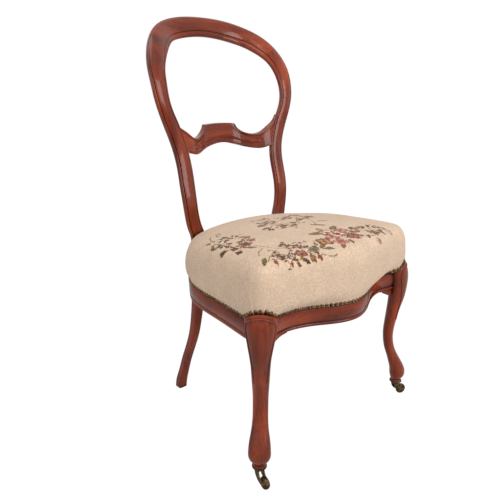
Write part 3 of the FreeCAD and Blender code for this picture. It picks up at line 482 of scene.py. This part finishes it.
cover = bpy.data.objects.new("needlepoint_cover", cover_mesh)
bpy.context.scene.collection.objects.link(cover)
remesh = cover.modifiers.new("cloth", "REMESH")
remesh.mode = "VOXEL"
remesh.voxel_size = VOXEL
remesh.use_smooth_shade = True
fine = bpy.data.meshes.new_from_object(cover.evaluated_get(bpy.context.evaluated_depsgraph_get()))
cover.modifiers.clear()
cover.data = fine

count = len(fine.vertices)
places = np.empty(count * 3)
fine.vertices.foreach_get("co", places)
places = places.reshape(count, 3)

# Pleats
# The spare cloth of each front corner is laid in two small folds that run up from the knee.
PLEAT_HIGH = 0.392
CREASE_WIDE = 0.0017
ROLL_AWAY = 0.0040
ROLL_WIDE = 0.0030
# across the corner at the knee, how far it leans by the top, and how deep it is
PLEATS = [(-0.007, -0.010, 0.0022), (0.010, 0.008, 0.0014)]
CORNER = np.array([0.2215, 0.006 - FRONT_AXIS])
for side in (-1, 1):
    beyond = (places[:, 0] * side - CORNER[0] - places[:, 1] + CORNER[1]) * math.sqrt(0.5)
    across = (places[:, 0] * side - CORNER[0] + places[:, 1] - CORNER[1]) * math.sqrt(0.5)
    rise = (places[:, 2] - KNEE_TOP) / (PLEAT_HIGH - KNEE_TOP)
    live = (beyond > -0.022) & (rise > -0.6) & (rise < 1.0) & (np.abs(across) < 0.03)
    fade = np.clip(1 - rise, 0, 1) ** 0.7 * live
    for start, lean, deep in PLEATS:
        off = across - start - lean * rise
        push = -deep * np.exp(-((off / CREASE_WIDE) ** 2))
        push += 0.5 * deep * np.exp(-(((off - ROLL_AWAY) / ROLL_WIDE) ** 2))
        places[:, 0] += side * push * fade * math.sqrt(0.5)
        places[:, 1] -= push * fade * math.sqrt(0.5)

# The cut round the posts
# Behind, the cover is cut and turned in against the front of each post, which stands clear of it.
def surface_of(mesh):
    return BVHTree.FromPolygons([v.co for v in mesh.vertices], [list(p.vertices) for p in mesh.polygons])


def wood_surface(node):
    return surface_of(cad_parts[node].data)


TURNED_IN = 0.0006
post_surfaces = {-1: wood_surface("left_rear_post"), 1: wood_surface("right_rear_post")}


def post_front(x, z):
    """The front of the post at this place, seen from before the chair, or None beside the post."""
    return post_surfaces[1 if x > 0 else -1].ray_cast(Vector((x, 0, z)), Vector((0, 1, 0)))[0]


for i in np.nonzero((places[:, 1] > 0) & (np.abs(places[:, 0]) > 0.10) & (np.abs(places[:, 0]) < 0.19))[0]:
    x, y, z = places[i]
    front = post_front(x, z)
    if front and y > front.y + TURNED_IN:
        places[i, 1] = front.y + TURNED_IN
fine.vertices.foreach_set("co", places.ravel())

# The needlepoint
# Sprays of faded wool flowers on a beige ground: a large rose at the front right with leaves and a
# trail, a garland along the front, and looser sprays at the left and the back. It is drawn on the flat
# canvas in millimetres, stitch by stitch, before the canvas is drawn over the seat.
STITCH = 1.8
SHOULDER = 0.424
lines = kdtree.KDTree(len(fullest))
for i, place in enumerate(fullest):
    lines.insert((place[0], place[1], 0), i)
lines.balance()
nearest = np.array([lines.find((x, y, 0))[1] for x, y in places[:, :2]])
drop = np.maximum(0, SHOULDER - fall(places) - places[:, 2])
flat = (places[:, :2] + fullest_outward[nearest, :2] * drop[:, None]) * 1000
sx = np.round(flat[:, 0] / STITCH) * STITCH
sy = np.round(flat[:, 1] / STITCH) * STITCH


def wool(red, green, blue):
    """Linear colour of a wool from its colour on screen."""
    return np.array([(c / 255) ** 2.2 for c in (red, green, blue)])


CREAM = wool(236, 219, 192)
PINK = wool(214, 156, 138)
ROSE = wool(186, 112, 96)
RED = wool(150, 66, 56)
WINE = wool(104, 46, 40)
OLIVE = wool(146, 122, 72)
GREEN = wool(128, 118, 88)
MOSS = wool(96, 82, 58)
BROWN = wool(118, 82, 60)
DARK = wool(78, 54, 44)
BLUE = wool(140, 134, 122)
GOLD = wool(186, 150, 92)
wools = np.tile(wool(224, 195, 168), (count, 1))


def stem(start, middle, end, colour, wide=1.7):
    """A thin curved line of stitches."""
    t = np.linspace(0, 1, 9)[:, None]
    path = (1 - t) ** 2 * np.array(start) + 2 * t * (1 - t) * np.array(middle) + t ** 2 * np.array(end)
    near = np.full(count, 1e9)
    for (ax, ay), (bx, by) in zip(path, path[1:]):
        run = (bx - ax) ** 2 + (by - ay) ** 2
        u = np.clip(((sx - ax) * (bx - ax) + (sy - ay) * (by - ay)) / run, 0, 1)
        near = np.minimum(near, np.hypot(sx - ax - u * (bx - ax), sy - ay - u * (by - ay)))
    wools[near < wide / 2] = colour


def leaf(start, end, wide, colour, edge):
    """A pointed leaf with a darker edge and rib."""
    dx, dy = end[0] - start[0], end[1] - start[1]
    length = math.hypot(dx, dy)
    u = ((sx - start[0]) * dx + (sy - start[1]) * dy) / length ** 2
    v = np.abs((sx - start[0]) * dy - (sy - start[1]) * dx) / length
    half = wide / 2 * np.sin(np.pi * np.clip(u, 0, 1)) ** 0.8
    inside = (u > 0) & (u < 1) & (v < half)
    wools[inside] = colour
    wools[inside & ((v > half - 1.8) | (v < 0.9))] = edge


def blossom(x, y, radius, petals, turn, outer, inner, heart, edge):
    """An open flower of rounded petals, shaded towards its heart."""
    distance = np.hypot(sx - x, sy - y)
    angle = np.arctan2(sy - y, sx - x) - turn
    rim = radius * (0.62 + 0.38 * np.abs(np.cos(petals * angle / 2)))
    inside = distance < rim
    wools[inside] = outer
    wools[distance < 0.66 * rim] = inner
    wools[inside & (distance > rim - 1.9)] = edge
    wools[inside & (np.abs(np.sin(petals * angle / 2)) > 0.97) & (distance > 0.3 * radius)] = edge
    wools[distance < 0.24 * radius] = heart


# the spray at the back
stem((-12, 31), (20, 10), (79, 5), BROWN)
stem((79, 5), (70, -60), (32, -108), GREEN)
stem((-61, -60), (-30, -30), (30, -8), MOSS)
stem((-30, 34), (-40, 0), (-61, -60), BROWN)
stem((40, -40), (10, -70), (-21, -72), BROWN)
leaf((-7, 20), (-34, 34), 13, CREAM, MOSS)
leaf((4, 12), (10, 38), 12, CREAM, BROWN)
leaf((-40, -20), (-66, -26), 12, GREEN, MOSS)
leaf((-50, -46), (-78, -54), 10, OLIVE, DARK)
leaf((24, -94), (46, -122), 10, GREEN, BROWN)
leaf((60, -84), (86, -92), 9, CREAM, MOSS)
blossom(79, 5, 15, 5, 0.3, ROSE, PINK, GOLD, WINE)
blossom(85, -34, 15, 5, 1.0, PINK, ROSE, WINE, BROWN)
blossom(46, -4, 12, 5, 0.7, CREAM, PINK, RED, BROWN)
blossom(-61, -64, 8, 4, 0.2, BROWN, DARK, GOLD, DARK)
blossom(-24, -60, 9, 4, 0.6, RED, WINE, GOLD, DARK)
blossom(-2, -74, 9, 4, 0.0, RED, ROSE, DARK, WINE)
blossom(14, -54, 8, 4, 0.4, OLIVE, GREEN, DARK, MOSS)

# the spray at the left
stem((-160, 14), (-190, -10), (-172, -37), BROWN)
stem((-139, -86), (-146, -50), (-158, -20), BROWN)
stem((-172, -50), (-184, -80), (-188, -97), MOSS)
stem((-150, -74), (-160, -90), (-194, -119), BROWN)
stem((-150, -40), (-130, -30), (-118, -44), GREEN)
leaf((-158, -6), (-138, 16), 11, CREAM, BROWN)
leaf((-184, -60), (-206, -52), 10, CREAM, MOSS)
leaf((-140, -56), (-120, -66), 10, CREAM, BROWN)
leaf((-172, -112), (-160, -132), 9, GREEN, BROWN)
blossom(-172, -37, 16, 6, 0.2, CREAM, CREAM, BROWN, MOSS)
blossom(-160, -98, 14, 5, 0.9, ROSE, BROWN, DARK, BROWN)
blossom(-138, -88, 10, 5, 0.1, PINK, ROSE, WINE, BROWN)
blossom(-194, -119, 8, 4, 0.3, RED, DARK, DARK, DARK)
blossom(-188, -97, 8, 4, 0.8, BROWN, DARK, GOLD, DARK)
blossom(-206, -84, 7, 4, 0.5, BROWN, MOSS, DARK, DARK)

# the garland along the front
stem((-156, -115), (-150, -160), (-123, -181), OLIVE)
stem((-123, -181), (-104, -186), (-84, -200), BROWN)
stem((-84, -200), (-64, -196), (-58, -178), OLIVE)
stem((-146, -169), (-176, -180), (-189, -193), OLIVE)
stem((-158, -146), (-180, -150), (-186, -166), BROWN)
stem((-123, -181), (-140, -196), (-158, -204), MOSS)
stem((-84, -200), (-100, -206), (-116, -214), MOSS)
stem((-86, -226), (-74, -240), (-58, -240), GREEN)
stem((-105, -196), (-112, -176), (-128, -164), BROWN)
leaf((-184, -179), (-204, -197), 9, OLIVE, MOSS)
leaf((-176, -189), (-180, -209), 8, CREAM, BROWN)
leaf((-72, -215), (-50, -227), 9, BLUE, MOSS)
leaf((-132, -215), (-118, -229), 8, BROWN, DARK)
leaf((-100, -195), (-84, -189), 8, BLUE, MOSS)
blossom(-158, -195, 11, 5, 0.4, CREAM, BROWN, DARK, DARK)
blossom(-141, -202, 10, 5, 1.1, BROWN, CREAM, DARK, DARK)
blossom(-119, -205, 13, 5, 0.2, RED, ROSE, GOLD, WINE)
blossom(-88, -209, 12, 8, 0.0, BLUE, GREEN, MOSS, MOSS)
blossom(-108, -225, 7, 4, 0.5, GOLD, OLIVE, BROWN, BROWN)
blossom(-94, -229, 6, 4, 0.1, GOLD, RED, BROWN, BROWN)

# the rose, its buds and leaves, and the trail at the right
stem((30, -190), (70, -180), (98, -210), GREEN)
stem((98, -199), (118, -211), (142, -203), GREEN)
stem((34, -189), (52, -225), (84, -221), MOSS)
stem((98, -199), (110, -175), (132, -173), MOSS)
leaf((60, -179), (76, -161), 9, GREEN, MOSS)
leaf((84, -185), (104, -179), 8, GREEN, MOSS)
leaf((112, -205), (122, -223), 8, GREEN, BROWN)
leaf((56, -228), (70, -214), 8, OLIVE, MOSS)
leaf((-4, -160), (-36, -146), 17, OLIVE, MOSS)
leaf((24, -154), (56, -136), 15, OLIVE, MOSS)
leaf((0, -156), (10, -124), 12, GOLD, OLIVE)
leaf((-54, -206), (-76, -212), 9, OLIVE, BROWN)
leaf((-20, -220), (-34, -236), 9, OLIVE, BROWN)
leaf((6, -214), (2, -232), 9, GREEN, BROWN)
blossom(98, -212, 8, 4, 0.6, PINK, BROWN, DARK, BROWN)
blossom(142, -214, 9, 5, 0.2, PINK, CREAM, BROWN, BROWN)
blossom(130, -188, 8, 4, 0.9, ROSE, CREAM, BROWN, MOSS)
blossom(78, -236, 7, 4, 0.3, CREAM, PINK, BROWN, BROWN)
for x, y, radius, turn, outer, inner in (
    (-44, -196, 19, 0.4, RED, GOLD),
    (-16, -214, 16, 0.9, PINK, ROSE),
    (30, -206, 17, 0.1, RED, ROSE),
    (2, -160, 19, 0.6, PINK, CREAM),
    (34, -170, 18, 1.3, ROSE, PINK),
    (-10, -184, 18, 0.2, ROSE, PINK),
    (12, -180, 22, 0.8, PINK, CREAM),
):
    blossom(x, y, radius, 4, turn, outer, inner, RED, WINE)
blossom(12, -180, 10, 3, 0.2, ROSE, RED, WINE, RED)

# small sprigs that fill each spray, a leaf and a bud to each
sprigs = random.Random(7)
for x, y, spread_x, spread_y, number in (
    (10, -30, 74, 52, 30), (-164, -60, 36, 62, 22), (-124, -188, 62, 36, 26), (98, -194, 50, 26, 18),
    (4, -186, 54, 40, 8),
):
    for i in range(number):
        turn = sprigs.uniform(0, 2 * math.pi)
        reach = sprigs.uniform(0.35, 1.0)
        sprig_x = x + spread_x * reach * math.cos(turn)
        sprig_y = y + spread_y * reach * math.sin(turn)
        lean = sprigs.uniform(0, 2 * math.pi)
        tip_x = sprig_x + 15 * math.cos(lean)
        tip_y = sprig_y + 15 * math.sin(lean)
        bent = (sprig_x + 9 * math.cos(lean + 0.8), sprig_y + 9 * math.sin(lean + 0.8))
        stem((sprig_x, sprig_y), bent, (tip_x, tip_y), sprigs.choice((BROWN, ROSE, OLIVE)), 1.5)
        leaf_tip = (sprig_x + 9 * math.cos(lean - 1.1), sprig_y + 9 * math.sin(lean - 1.1))
        leaf((sprig_x, sprig_y), leaf_tip, 5, sprigs.choice((CREAM, OLIVE, ROSE)), BROWN)
        blossom(tip_x, tip_y, sprigs.uniform(3.5, 5.5), 4, lean, sprigs.choice((ROSE, BROWN, RED, PINK)),
                BROWN, DARK, BROWN)

# The cloth carries that drawing as a colour at each point, and its own flat canvas as a map for the
# rows of stitches. The wool is matt, uneven in tone from stitch to stitch, and a little soiled.
drawing = fine.color_attributes.new("drawing", "FLOAT_COLOR", "POINT")
drawing.data.foreach_set("color", np.column_stack([wools, np.ones(count)]).ravel())
corners = np.empty(len(fine.loops), dtype=np.int64)
fine.loops.foreach_get("vertex_index", corners)
canvas_map = fine.uv_layers.new(name="canvas")
canvas_map.data.foreach_set("uv", (flat[corners] / 1000).ravel())

canvas = bpy.data.materials.new("needlepoint")
canvas.use_nodes = True
tree = canvas.node_tree
cloth = tree.nodes["Principled BSDF"]
cloth.inputs["Roughness"].default_value = 0.9
cloth.inputs["Specular IOR Level"].default_value = 0.2
cloth.inputs["Sheen Weight"].default_value = 0.12
drawn = tree.nodes.new("ShaderNodeVertexColor")
drawn.layer_name = "drawing"
mapped = tree.nodes.new("ShaderNodeUVMap")
mapped.uv_map = "canvas"
rows = tree.nodes.new("ShaderNodeVectorMath")
rows.operation = "SCALE"
rows.inputs["Scale"].default_value = 1000 / STITCH
tree.links.new(mapped.outputs["UV"], rows.inputs[0])
cell = tree.nodes.new("ShaderNodeVectorMath")
cell.operation = "FLOOR"
tree.links.new(rows.outputs[0], cell.inputs[0])
uneven = tree.nodes.new("ShaderNodeTexWhiteNoise")
uneven.noise_dimensions = "2D"
tree.links.new(cell.outputs[0], uneven.inputs["Vector"])
tones = tree.nodes.new("ShaderNodeMapRange")
tones.inputs["To Min"].default_value = 0.84
tones.inputs["To Max"].default_value = 1.10
tree.links.new(uneven.outputs["Value"], tones.inputs["Value"])
where = tree.nodes.new("ShaderNodeTexCoord")
soil = tree.nodes.new("ShaderNodeTexNoise")
soil.inputs["Scale"].default_value = 26
soil.inputs["Detail"].default_value = 4
tree.links.new(where.outputs["Object"], soil.inputs["Vector"])
soiled = tree.nodes.new("ShaderNodeMapRange")
soiled.inputs["From Min"].default_value = 0.3
soiled.inputs["From Max"].default_value = 0.7
soiled.inputs["To Min"].default_value = 0.95
soiled.inputs["To Max"].default_value = 1.04
tree.links.new(soil.outputs["Fac"], soiled.inputs["Value"])
shade = tree.nodes.new("ShaderNodeMath")
shade.operation = "MULTIPLY"
tree.links.new(tones.outputs[0], shade.inputs[0])
tree.links.new(soiled.outputs[0], shade.inputs[1])
dyed = tree.nodes.new("ShaderNodeVectorMath")
dyed.operation = "SCALE"
tree.links.new(drawn.outputs["Color"], dyed.inputs[0])
tree.links.new(shade.outputs[0], dyed.inputs["Scale"])
tree.links.new(dyed.outputs[0], cloth.inputs["Base Color"])
within = tree.nodes.new("ShaderNodeVectorMath")
within.operation = "FRACTION"
tree.links.new(rows.outputs[0], within.inputs[0])
centred = tree.nodes.new("ShaderNodeVectorMath")
centred.operation = "SUBTRACT"
centred.inputs[1].default_value = (0.5, 0.5, 0)
tree.links.new(within.outputs[0], centred.inputs[0])
spread = tree.nodes.new("ShaderNodeVectorMath")
spread.operation = "LENGTH"
tree.links.new(centred.outputs[0], spread.inputs[0])
stitches = tree.nodes.new("ShaderNodeMapRange")
stitches.inputs["From Min"].default_value = 0.1
stitches.inputs["From Max"].default_value = 0.62
stitches.inputs["To Min"].default_value = 1.0
stitches.inputs["To Max"].default_value = 0.0
tree.links.new(spread.outputs["Value"], stitches.inputs["Value"])
raised = tree.nodes.new("ShaderNodeBump")
raised.inputs["Strength"].default_value = 0.55
raised.inputs["Distance"].default_value = 0.0006
tree.links.new(stitches.outputs[0], raised.inputs["Height"])
tree.links.new(raised.outputs[0], cloth.inputs["Normal"])
fine.materials.clear()
fine.materials.append(canvas)
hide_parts("seat_cover", "seat_stuffing", "spring_hessian")
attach(cover, "chair")



# The nails
# Domed brass-headed nails, set close along the bottom edge of the cover, over the knees and round the
# back. Their shanks go into the rebate of the rails.
NAIL_ACROSS = 0.0092
NAIL_PITCH = 0.0096
NAIL_HIGH = 0.0027
NAIL_LINE = 0.0044
cover_surface = surface_of(fine)
nail_line = np.vstack([nailed_edge, nailed_edge[:1]]) + (0, 0, NAIL_LINE)
nail_steps = np.concatenate([[0], np.cumsum(np.linalg.norm(np.diff(nail_line, axis=0), axis=1))])
nail_count = round(nail_steps[-1] / NAIL_PITCH)
nail_form = bmesh.new()
for i in range(nail_count):
    along = nail_steps[-1] * (i + 0.5) / nail_count
    spot = Vector([float(np.interp(along, nail_steps, nail_line[:, axis])) for axis in range(3)])
    if spot.y > 0 and post_front(spot.x, spot.z):
        continue
    place, normal, index, distance = cover_surface.find_nearest(spot)
    normal.z = max(normal.z, -0.1)
    set_square = Matrix.LocRotScale(
        place,
        normal.to_track_quat("Z", "Y"),
        Vector((NAIL_ACROSS / 2, NAIL_ACROSS / 2, NAIL_HIGH)),
    )
    bmesh.ops.create_uvsphere(nail_form, u_segments=10, v_segments=7, radius=1, matrix=set_square)
for face in nail_form.faces:
    face.smooth = True
nail_mesh = bpy.data.meshes.new("upholstery_nails")
nail_form.to_mesh(nail_mesh)
nail_form.free()
nails = bpy.data.objects.new("upholstery_nails", nail_mesh)
bpy.context.scene.collection.objects.link(nails)
nail_mesh.materials.append(metal("nail_brass", (0.028, 0.014, 0.008), (0.24, 0.130, 0.062), 0.20, 0.42, 220))
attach(nails, "chair")


# The carved work of the frame
# Mouldings carved in the solid wood: a flat tablet and beads on the middle rail, a raised edge round
# each knee, and a bracket under each end of the front rail with a bead along its arc.
def carved(name, form_mesh, paint):
    """A carved detail, which belongs to the frame."""
    piece = bpy.data.objects.new(name, form_mesh)
    bpy.context.scene.collection.objects.link(piece)
    form_mesh.materials.append(paint)
    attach(piece, "chair")


def bead(name, points, radius, paint):
    """A round moulding, half sunk in the wood, along a line of points."""
    data = bpy.data.curves.new(name, "CURVE")
    data.dimensions = "3D"
    data.bevel_depth = radius
    data.bevel_resolution = 3
    data.use_fill_caps = True
    data.resolution_u = 8
    line = data.splines.new("BEZIER")
    line.bezier_points.add(len(points) - 1)
    for point, place in zip(line.bezier_points, points):
        point.co = place
        point.handle_left_type = "AUTO"
        point.handle_right_type = "AUTO"
    holder = bpy.data.objects.new(name, data)
    mesh = bpy.data.meshes.new_from_object(holder)
    bpy.data.objects.remove(holder)
    for face in mesh.polygons:
        face.use_smooth = True
    carved(name, mesh, paint)


# The middle rail's tablet and beads, x and height in millimetres
rail_face = wood_surface("mid_rail")


def on_rail(x, z, proud=0.0):
    """The place on the middle rail's front, or this far before it."""
    place, normal, index, distance = rail_face.ray_cast(Vector((x / 1000, 0, z / 1000)), Vector((0, 1, 0)))
    if place is None:
        return None
    return place + normal * proud


NOTCH_EDGE = [(43, 645), (49, 635), (61, 625.5), (76, 620), (90, 619), (107, 624), (122, 634), (135, 642)]
NOTCH_BEAD = 0.0019
LOWER_BEAD = 0.0017
LOWER_EDGE = [(0, 608.5), (28, 605), (55, 598), (84, 591), (103, 591.5), (120, 596.5), (134, 603)]
for side, word in ((-1, "left"), (1, "right")):
    spots = [on_rail(side * x, z) for x, z in NOTCH_EDGE]
    bead("middle_rail_%s_notch_bead" % word, [spot for spot in spots if spot], NOTCH_BEAD, crosswise_wood)
lower_line = [(-x, z) for x, z in LOWER_EDGE[:0:-1]] + LOWER_EDGE
spots = [on_rail(x, z) for x, z in lower_line]
bead("middle_rail_lower_bead", [spot for spot in spots if spot], LOWER_BEAD, crosswise_wood)

TABLET_TOP = [(0, 644.5), (34, 643.5), (40, 639), (48, 630), (63, 620), (79, 612.5), (100, 607)]
TABLET_FOOT = [(0, 616), (24, 613.5), (46, 608.5), (66, 602.5), (79, 600.5), (100, 602)]
TABLET_PROUD = 0.0022
tablet_form = bmesh.new()
bmesh.ops.create_grid(tablet_form, x_segments=80, y_segments=8, size=1)
for vert in tablet_form.verts:
    x = 100 * vert.co.x
    top = float(np.interp(abs(x), *zip(*TABLET_TOP)))
    foot = float(np.interp(abs(x), *zip(*TABLET_FOOT)))
    rim = max(abs(vert.co.x), abs(vert.co.y)) > 0.985
    proud = -0.0004 if rim else TABLET_PROUD
    place = on_rail(x, foot + (top - foot) * (vert.co.y + 1) / 2, proud)
    vert.co = place if place else Vector((x / 1000, 0, foot / 1000))
bmesh.ops.recalc_face_normals(tablet_form, faces=tablet_form.faces)
for face in tablet_form.faces:
    face.smooth = True
tablet_mesh = bpy.data.meshes.new("middle_rail_tablet")
tablet_form.to_mesh(tablet_mesh)
tablet_form.free()
carved("middle_rail_tablet", tablet_mesh, crosswise_wood)

# The raised edge of each knee, distance from the knee's middle and height in millimetres
KNEE_OUT = 0.227
KNEE_BEAD = 0.0019
KNEE_EDGE = [
    (0, 347.5), (10, 346), (20, 341.5), (26.5, 334), (27.5, 324), (25.5, 310), (22, 290), (18.5, 270),
    (16, 250), (14.5, 230), (13, 212),
]
for side, word in ((-1, "left"), (1, "right")):
    knee_face = wood_surface(word + "_front_leg")
    outward = Vector((side, -1, 0)).normalized()
    sideways = Vector((side, 1, 0)).normalized()
    middle = Vector((side * KNEE_OUT, -FRONT_AXIS, 0))
    spots = []
    for across, height in [(-s, z) for s, z in KNEE_EDGE[:0:-1]] + KNEE_EDGE:
        start = middle + outward * 0.15 + sideways * across / 1000 + Vector((0, 0, height / 1000))
        place, normal, index, distance = knee_face.ray_cast(start, -outward)
        if place:
            spots.append(place)
    bead("%s_knee_edge" % word, spots, KNEE_BEAD, upright_wood)

# The brackets under the front rail
BRACKET_IN = 0.148
BRACKET_OUT = 0.204
BRACKET_TOP = 0.292
BRACKET_LOW = 0.2765
BRACKET_RUN = 0.034
BRACKET_DROP = 0.016
BRACKET_FACE = 0.0125
BRACKET_THICK = 0.018
BRACKET_SUNK = 0.0005
BRACKET_BEAD = 0.0013
for side, word in ((-1, "left"), (1, "right")):
    turns = [math.radians(90 * i / 12) for i in range(13)]
    foot = BRACKET_LOW - BRACKET_SUNK
    arc = [(BRACKET_IN + BRACKET_RUN * math.sin(t), foot + BRACKET_DROP * math.cos(t)) for t in turns]
    rim = arc + [(BRACKET_OUT, BRACKET_LOW), (BRACKET_OUT, BRACKET_TOP)]
    form = bmesh.new()
    front = form.faces.new([form.verts.new((side * x, BRACKET_FACE - FRONT_AXIS, z)) for x, z in rim])
    pushed = bmesh.ops.extrude_face_region(form, geom=[front])
    bmesh.ops.translate(form, vec=(0, BRACKET_THICK, 0),
                        verts=[v for v in pushed["geom"] if isinstance(v, bmesh.types.BMVert)])
    bmesh.ops.recalc_face_normals(form, faces=form.faces)
    bracket_mesh = bpy.data.meshes.new(word + "_bracket")
    form.to_mesh(bracket_mesh)
    form.free()
    carved(word + "_bracket", bracket_mesh, crosswise_wood)
    rise = [Vector((side * x, BRACKET_FACE - FRONT_AXIS + 0.001, z + 0.0012)) for x, z in arc]
    bead("%s_bracket_bead" % word, rise, BRACKET_BEAD, crosswise_wood)


# The webbing
# Six strips of jute, three each way and woven over and under, are strained across the bottom of the
# frame and tacked. The springs are sewn down on them.
def woven(name, colour, pitch, rough):
    """Plain woven cloth with threads both ways."""
    paint = bpy.data.materials.new(name)
    paint.use_nodes = True
    tree = paint.node_tree
    shader = tree.nodes["Principled BSDF"]
    shader.inputs["Roughness"].default_value = rough
    shader.inputs["Specular IOR Level"].default_value = 0.2
    place = tree.nodes.new("ShaderNodeTexCoord")
    heights = []
    for axis in "XY":
        threads = tree.nodes.new("ShaderNodeTexWave")
        threads.bands_direction = axis
        threads.inputs["Scale"].default_value = 0.31 / pitch
        tree.links.new(place.outputs["Object"], threads.inputs["Vector"])
        heights.append(threads.outputs["Fac"])
    over = tree.nodes.new("ShaderNodeMath")
    over.operation = "MAXIMUM"
    tree.links.new(heights[0], over.inputs[0])
    tree.links.new(heights[1], over.inputs[1])
    slub = tree.nodes.new("ShaderNodeTexNoise")
    slub.inputs["Scale"].default_value = 300
    tree.links.new(place.outputs["Object"], slub.inputs["Vector"])
    level = tree.nodes.new("ShaderNodeMath")
    level.operation = "MULTIPLY"
    tree.links.new(over.outputs[0], level.inputs[0])
    tree.links.new(slub.outputs["Fac"], level.inputs[1])
    tone = tree.nodes.new("ShaderNodeValToRGB")
    tone.color_ramp.elements[0].color = (*[c * 0.35 for c in colour], 1)
    tone.color_ramp.elements[1].position = 0.6
    tone.color_ramp.elements[1].color = (*colour, 1)
    tree.links.new(level.outputs[0], tone.inputs["Fac"])
    tree.links.new(tone.outputs["Color"], shader.inputs["Base Color"])
    relief = tree.nodes.new("ShaderNodeBump")
    relief.inputs["Strength"].default_value = 0.6
    relief.inputs["Distance"].default_value = 0.0006
    tree.links.new(over.outputs[0], relief.inputs["Height"])
    tree.links.new(relief.outputs[0], shader.inputs["Normal"])
    return paint


jute = woven("jute_webbing", (0.36, 0.24, 0.12), 0.0016, 0.9)
WEB_WIDE = 0.050
WEB_THICK = 0.0009
WEAVE_RISE = 0.0006
WEAVE_RUN = 0.030
TACKED_SHARE = 0.935
WEB_ALONG = (-0.095, 0.0, 0.095)
WEB_ACROSS = (0.066 - FRONT_AXIS, 0.154 - FRONT_AXIS, 0.242 - FRONT_AXIS)
web_low, web_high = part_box("seat_webbing")
web_middle = (web_low[2] + web_high[2]) / 2
tack_line = SEAT_MIDDLE + (nailed_edge * (1, 1, 0) - SEAT_MIDDLE) * TACKED_SHARE


def strip_ends(axis, across):
    """Where the tack line ends a thread of webbing that lies this far across."""
    here = tack_line[:, axis] - across
    after = np.roll(here, -1)
    cross = np.nonzero((here > 0) != (after > 0))[0]
    share = here[cross] / (here[cross] - after[cross])
    run = tack_line[:, 1 - axis]
    ends = run[cross] + (np.roll(run, -1)[cross] - run[cross]) * share
    return float(ends.min()), float(ends.max())


for axis, places, held_by in (
    (0, WEB_ALONG, ["front_seat_rail", "back_seat_rail"]),
    (1, WEB_ACROSS, ["left_side_rail", "right_side_rail"]),
):
    for i, at in enumerate(places):
        form = bmesh.new()
        bmesh.ops.create_grid(form, x_segments=8, y_segments=90, size=1)
        crossings = WEB_ACROSS if axis == 0 else WEB_ALONG
        for vert in form.verts:
            across = at + vert.co.x * WEB_WIDE / 2
            start, end = strip_ends(axis, across)
            along = start + (end - start) * (vert.co.y + 1) / 2
            weave = 0
            for j, crossing in enumerate(crossings):
                over = 1 if (i + j + axis) % 2 == 0 else -1
                weave += over * WEAVE_RISE * math.exp(-(((along - crossing) / WEAVE_RUN) ** 4))
            height = web_middle + weave
            vert.co = (across, along, height) if axis == 0 else (along, across, height)
        bmesh.ops.recalc_face_normals(form, faces=form.faces)
        for face in form.faces:
            face.smooth = True
        strip_name = "webbing_%s_%d" % ("fore_and_aft" if axis == 0 else "across", i + 1)
        strip_mesh = bpy.data.meshes.new(strip_name)
        form.to_mesh(strip_mesh)
        form.free()
        strip = bpy.data.objects.new(strip_name, strip_mesh)
        bpy.context.scene.collection.objects.link(strip)
        thicken = strip.modifiers.new("thickness", "SOLIDIFY")
        thicken.thickness = WEB_THICK
        thicken.offset = 0
        strip_mesh.materials.append(jute)
        if axis == 0 and i == 0:
            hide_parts("seat_webbing")
        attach(strip, "chair")
        start, end = strip_ends(axis, at)

# The dust cover
# Thin black cotton tacked to the underside of the rails. It hides the webbing and sags a little.
DUST_THICK = 0.0005
DUST_SAG = 0.0004
dust_low, dust_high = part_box("dust_cover")
dust_middle = (dust_low[2] + dust_high[2]) / 2
dust_points = np.array([v.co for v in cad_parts["dust_cover"].data.vertices])
dust_centre = (dust_low + dust_high) / 2
turns = np.arctan2(dust_points[:, 1] - dust_centre[1], dust_points[:, 0] - dust_centre[0])
order = np.argsort(turns)
dust_radius = np.hypot(dust_points[:, 0] - dust_centre[0], dust_points[:, 1] - dust_centre[1])
form = bmesh.new()
bmesh.ops.create_circle(form, cap_ends=True, cap_tris=True, segments=160, radius=1)
bmesh.ops.subdivide_edges(form, edges=[e for e in form.edges if not e.is_boundary], cuts=10)
for vert in form.verts:
    turn = math.atan2(vert.co.y, vert.co.x)
    share = min(1.0, math.hypot(vert.co.x, vert.co.y))
    reach = float(np.interp(turn, turns[order], dust_radius[order], period=2 * math.pi)) * share
    vert.co = (dust_centre[0] + reach * math.cos(turn), dust_centre[1] + reach * math.sin(turn),
               dust_middle - DUST_SAG * (1 - share ** 2))
bmesh.ops.recalc_face_normals(form, faces=form.faces)
for face in form.faces:
    face.smooth = True
dust_mesh = bpy.data.meshes.new("dust_cloth")
form.to_mesh(dust_mesh)
dust_area = sum(face.calc_area() for face in form.faces)
form.free()
dust_cloth = bpy.data.objects.new("dust_cloth", dust_mesh)
bpy.context.scene.collection.objects.link(dust_cloth)
thicken = dust_cloth.modifiers.new("thickness", "SOLIDIFY")
thicken.thickness = DUST_THICK
thicken.offset = 0
dust_mesh.materials.append(woven("black_cotton", (0.016, 0.015, 0.015), 0.0010, 0.95))
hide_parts("dust_cover")
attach(dust_cloth, "chair")
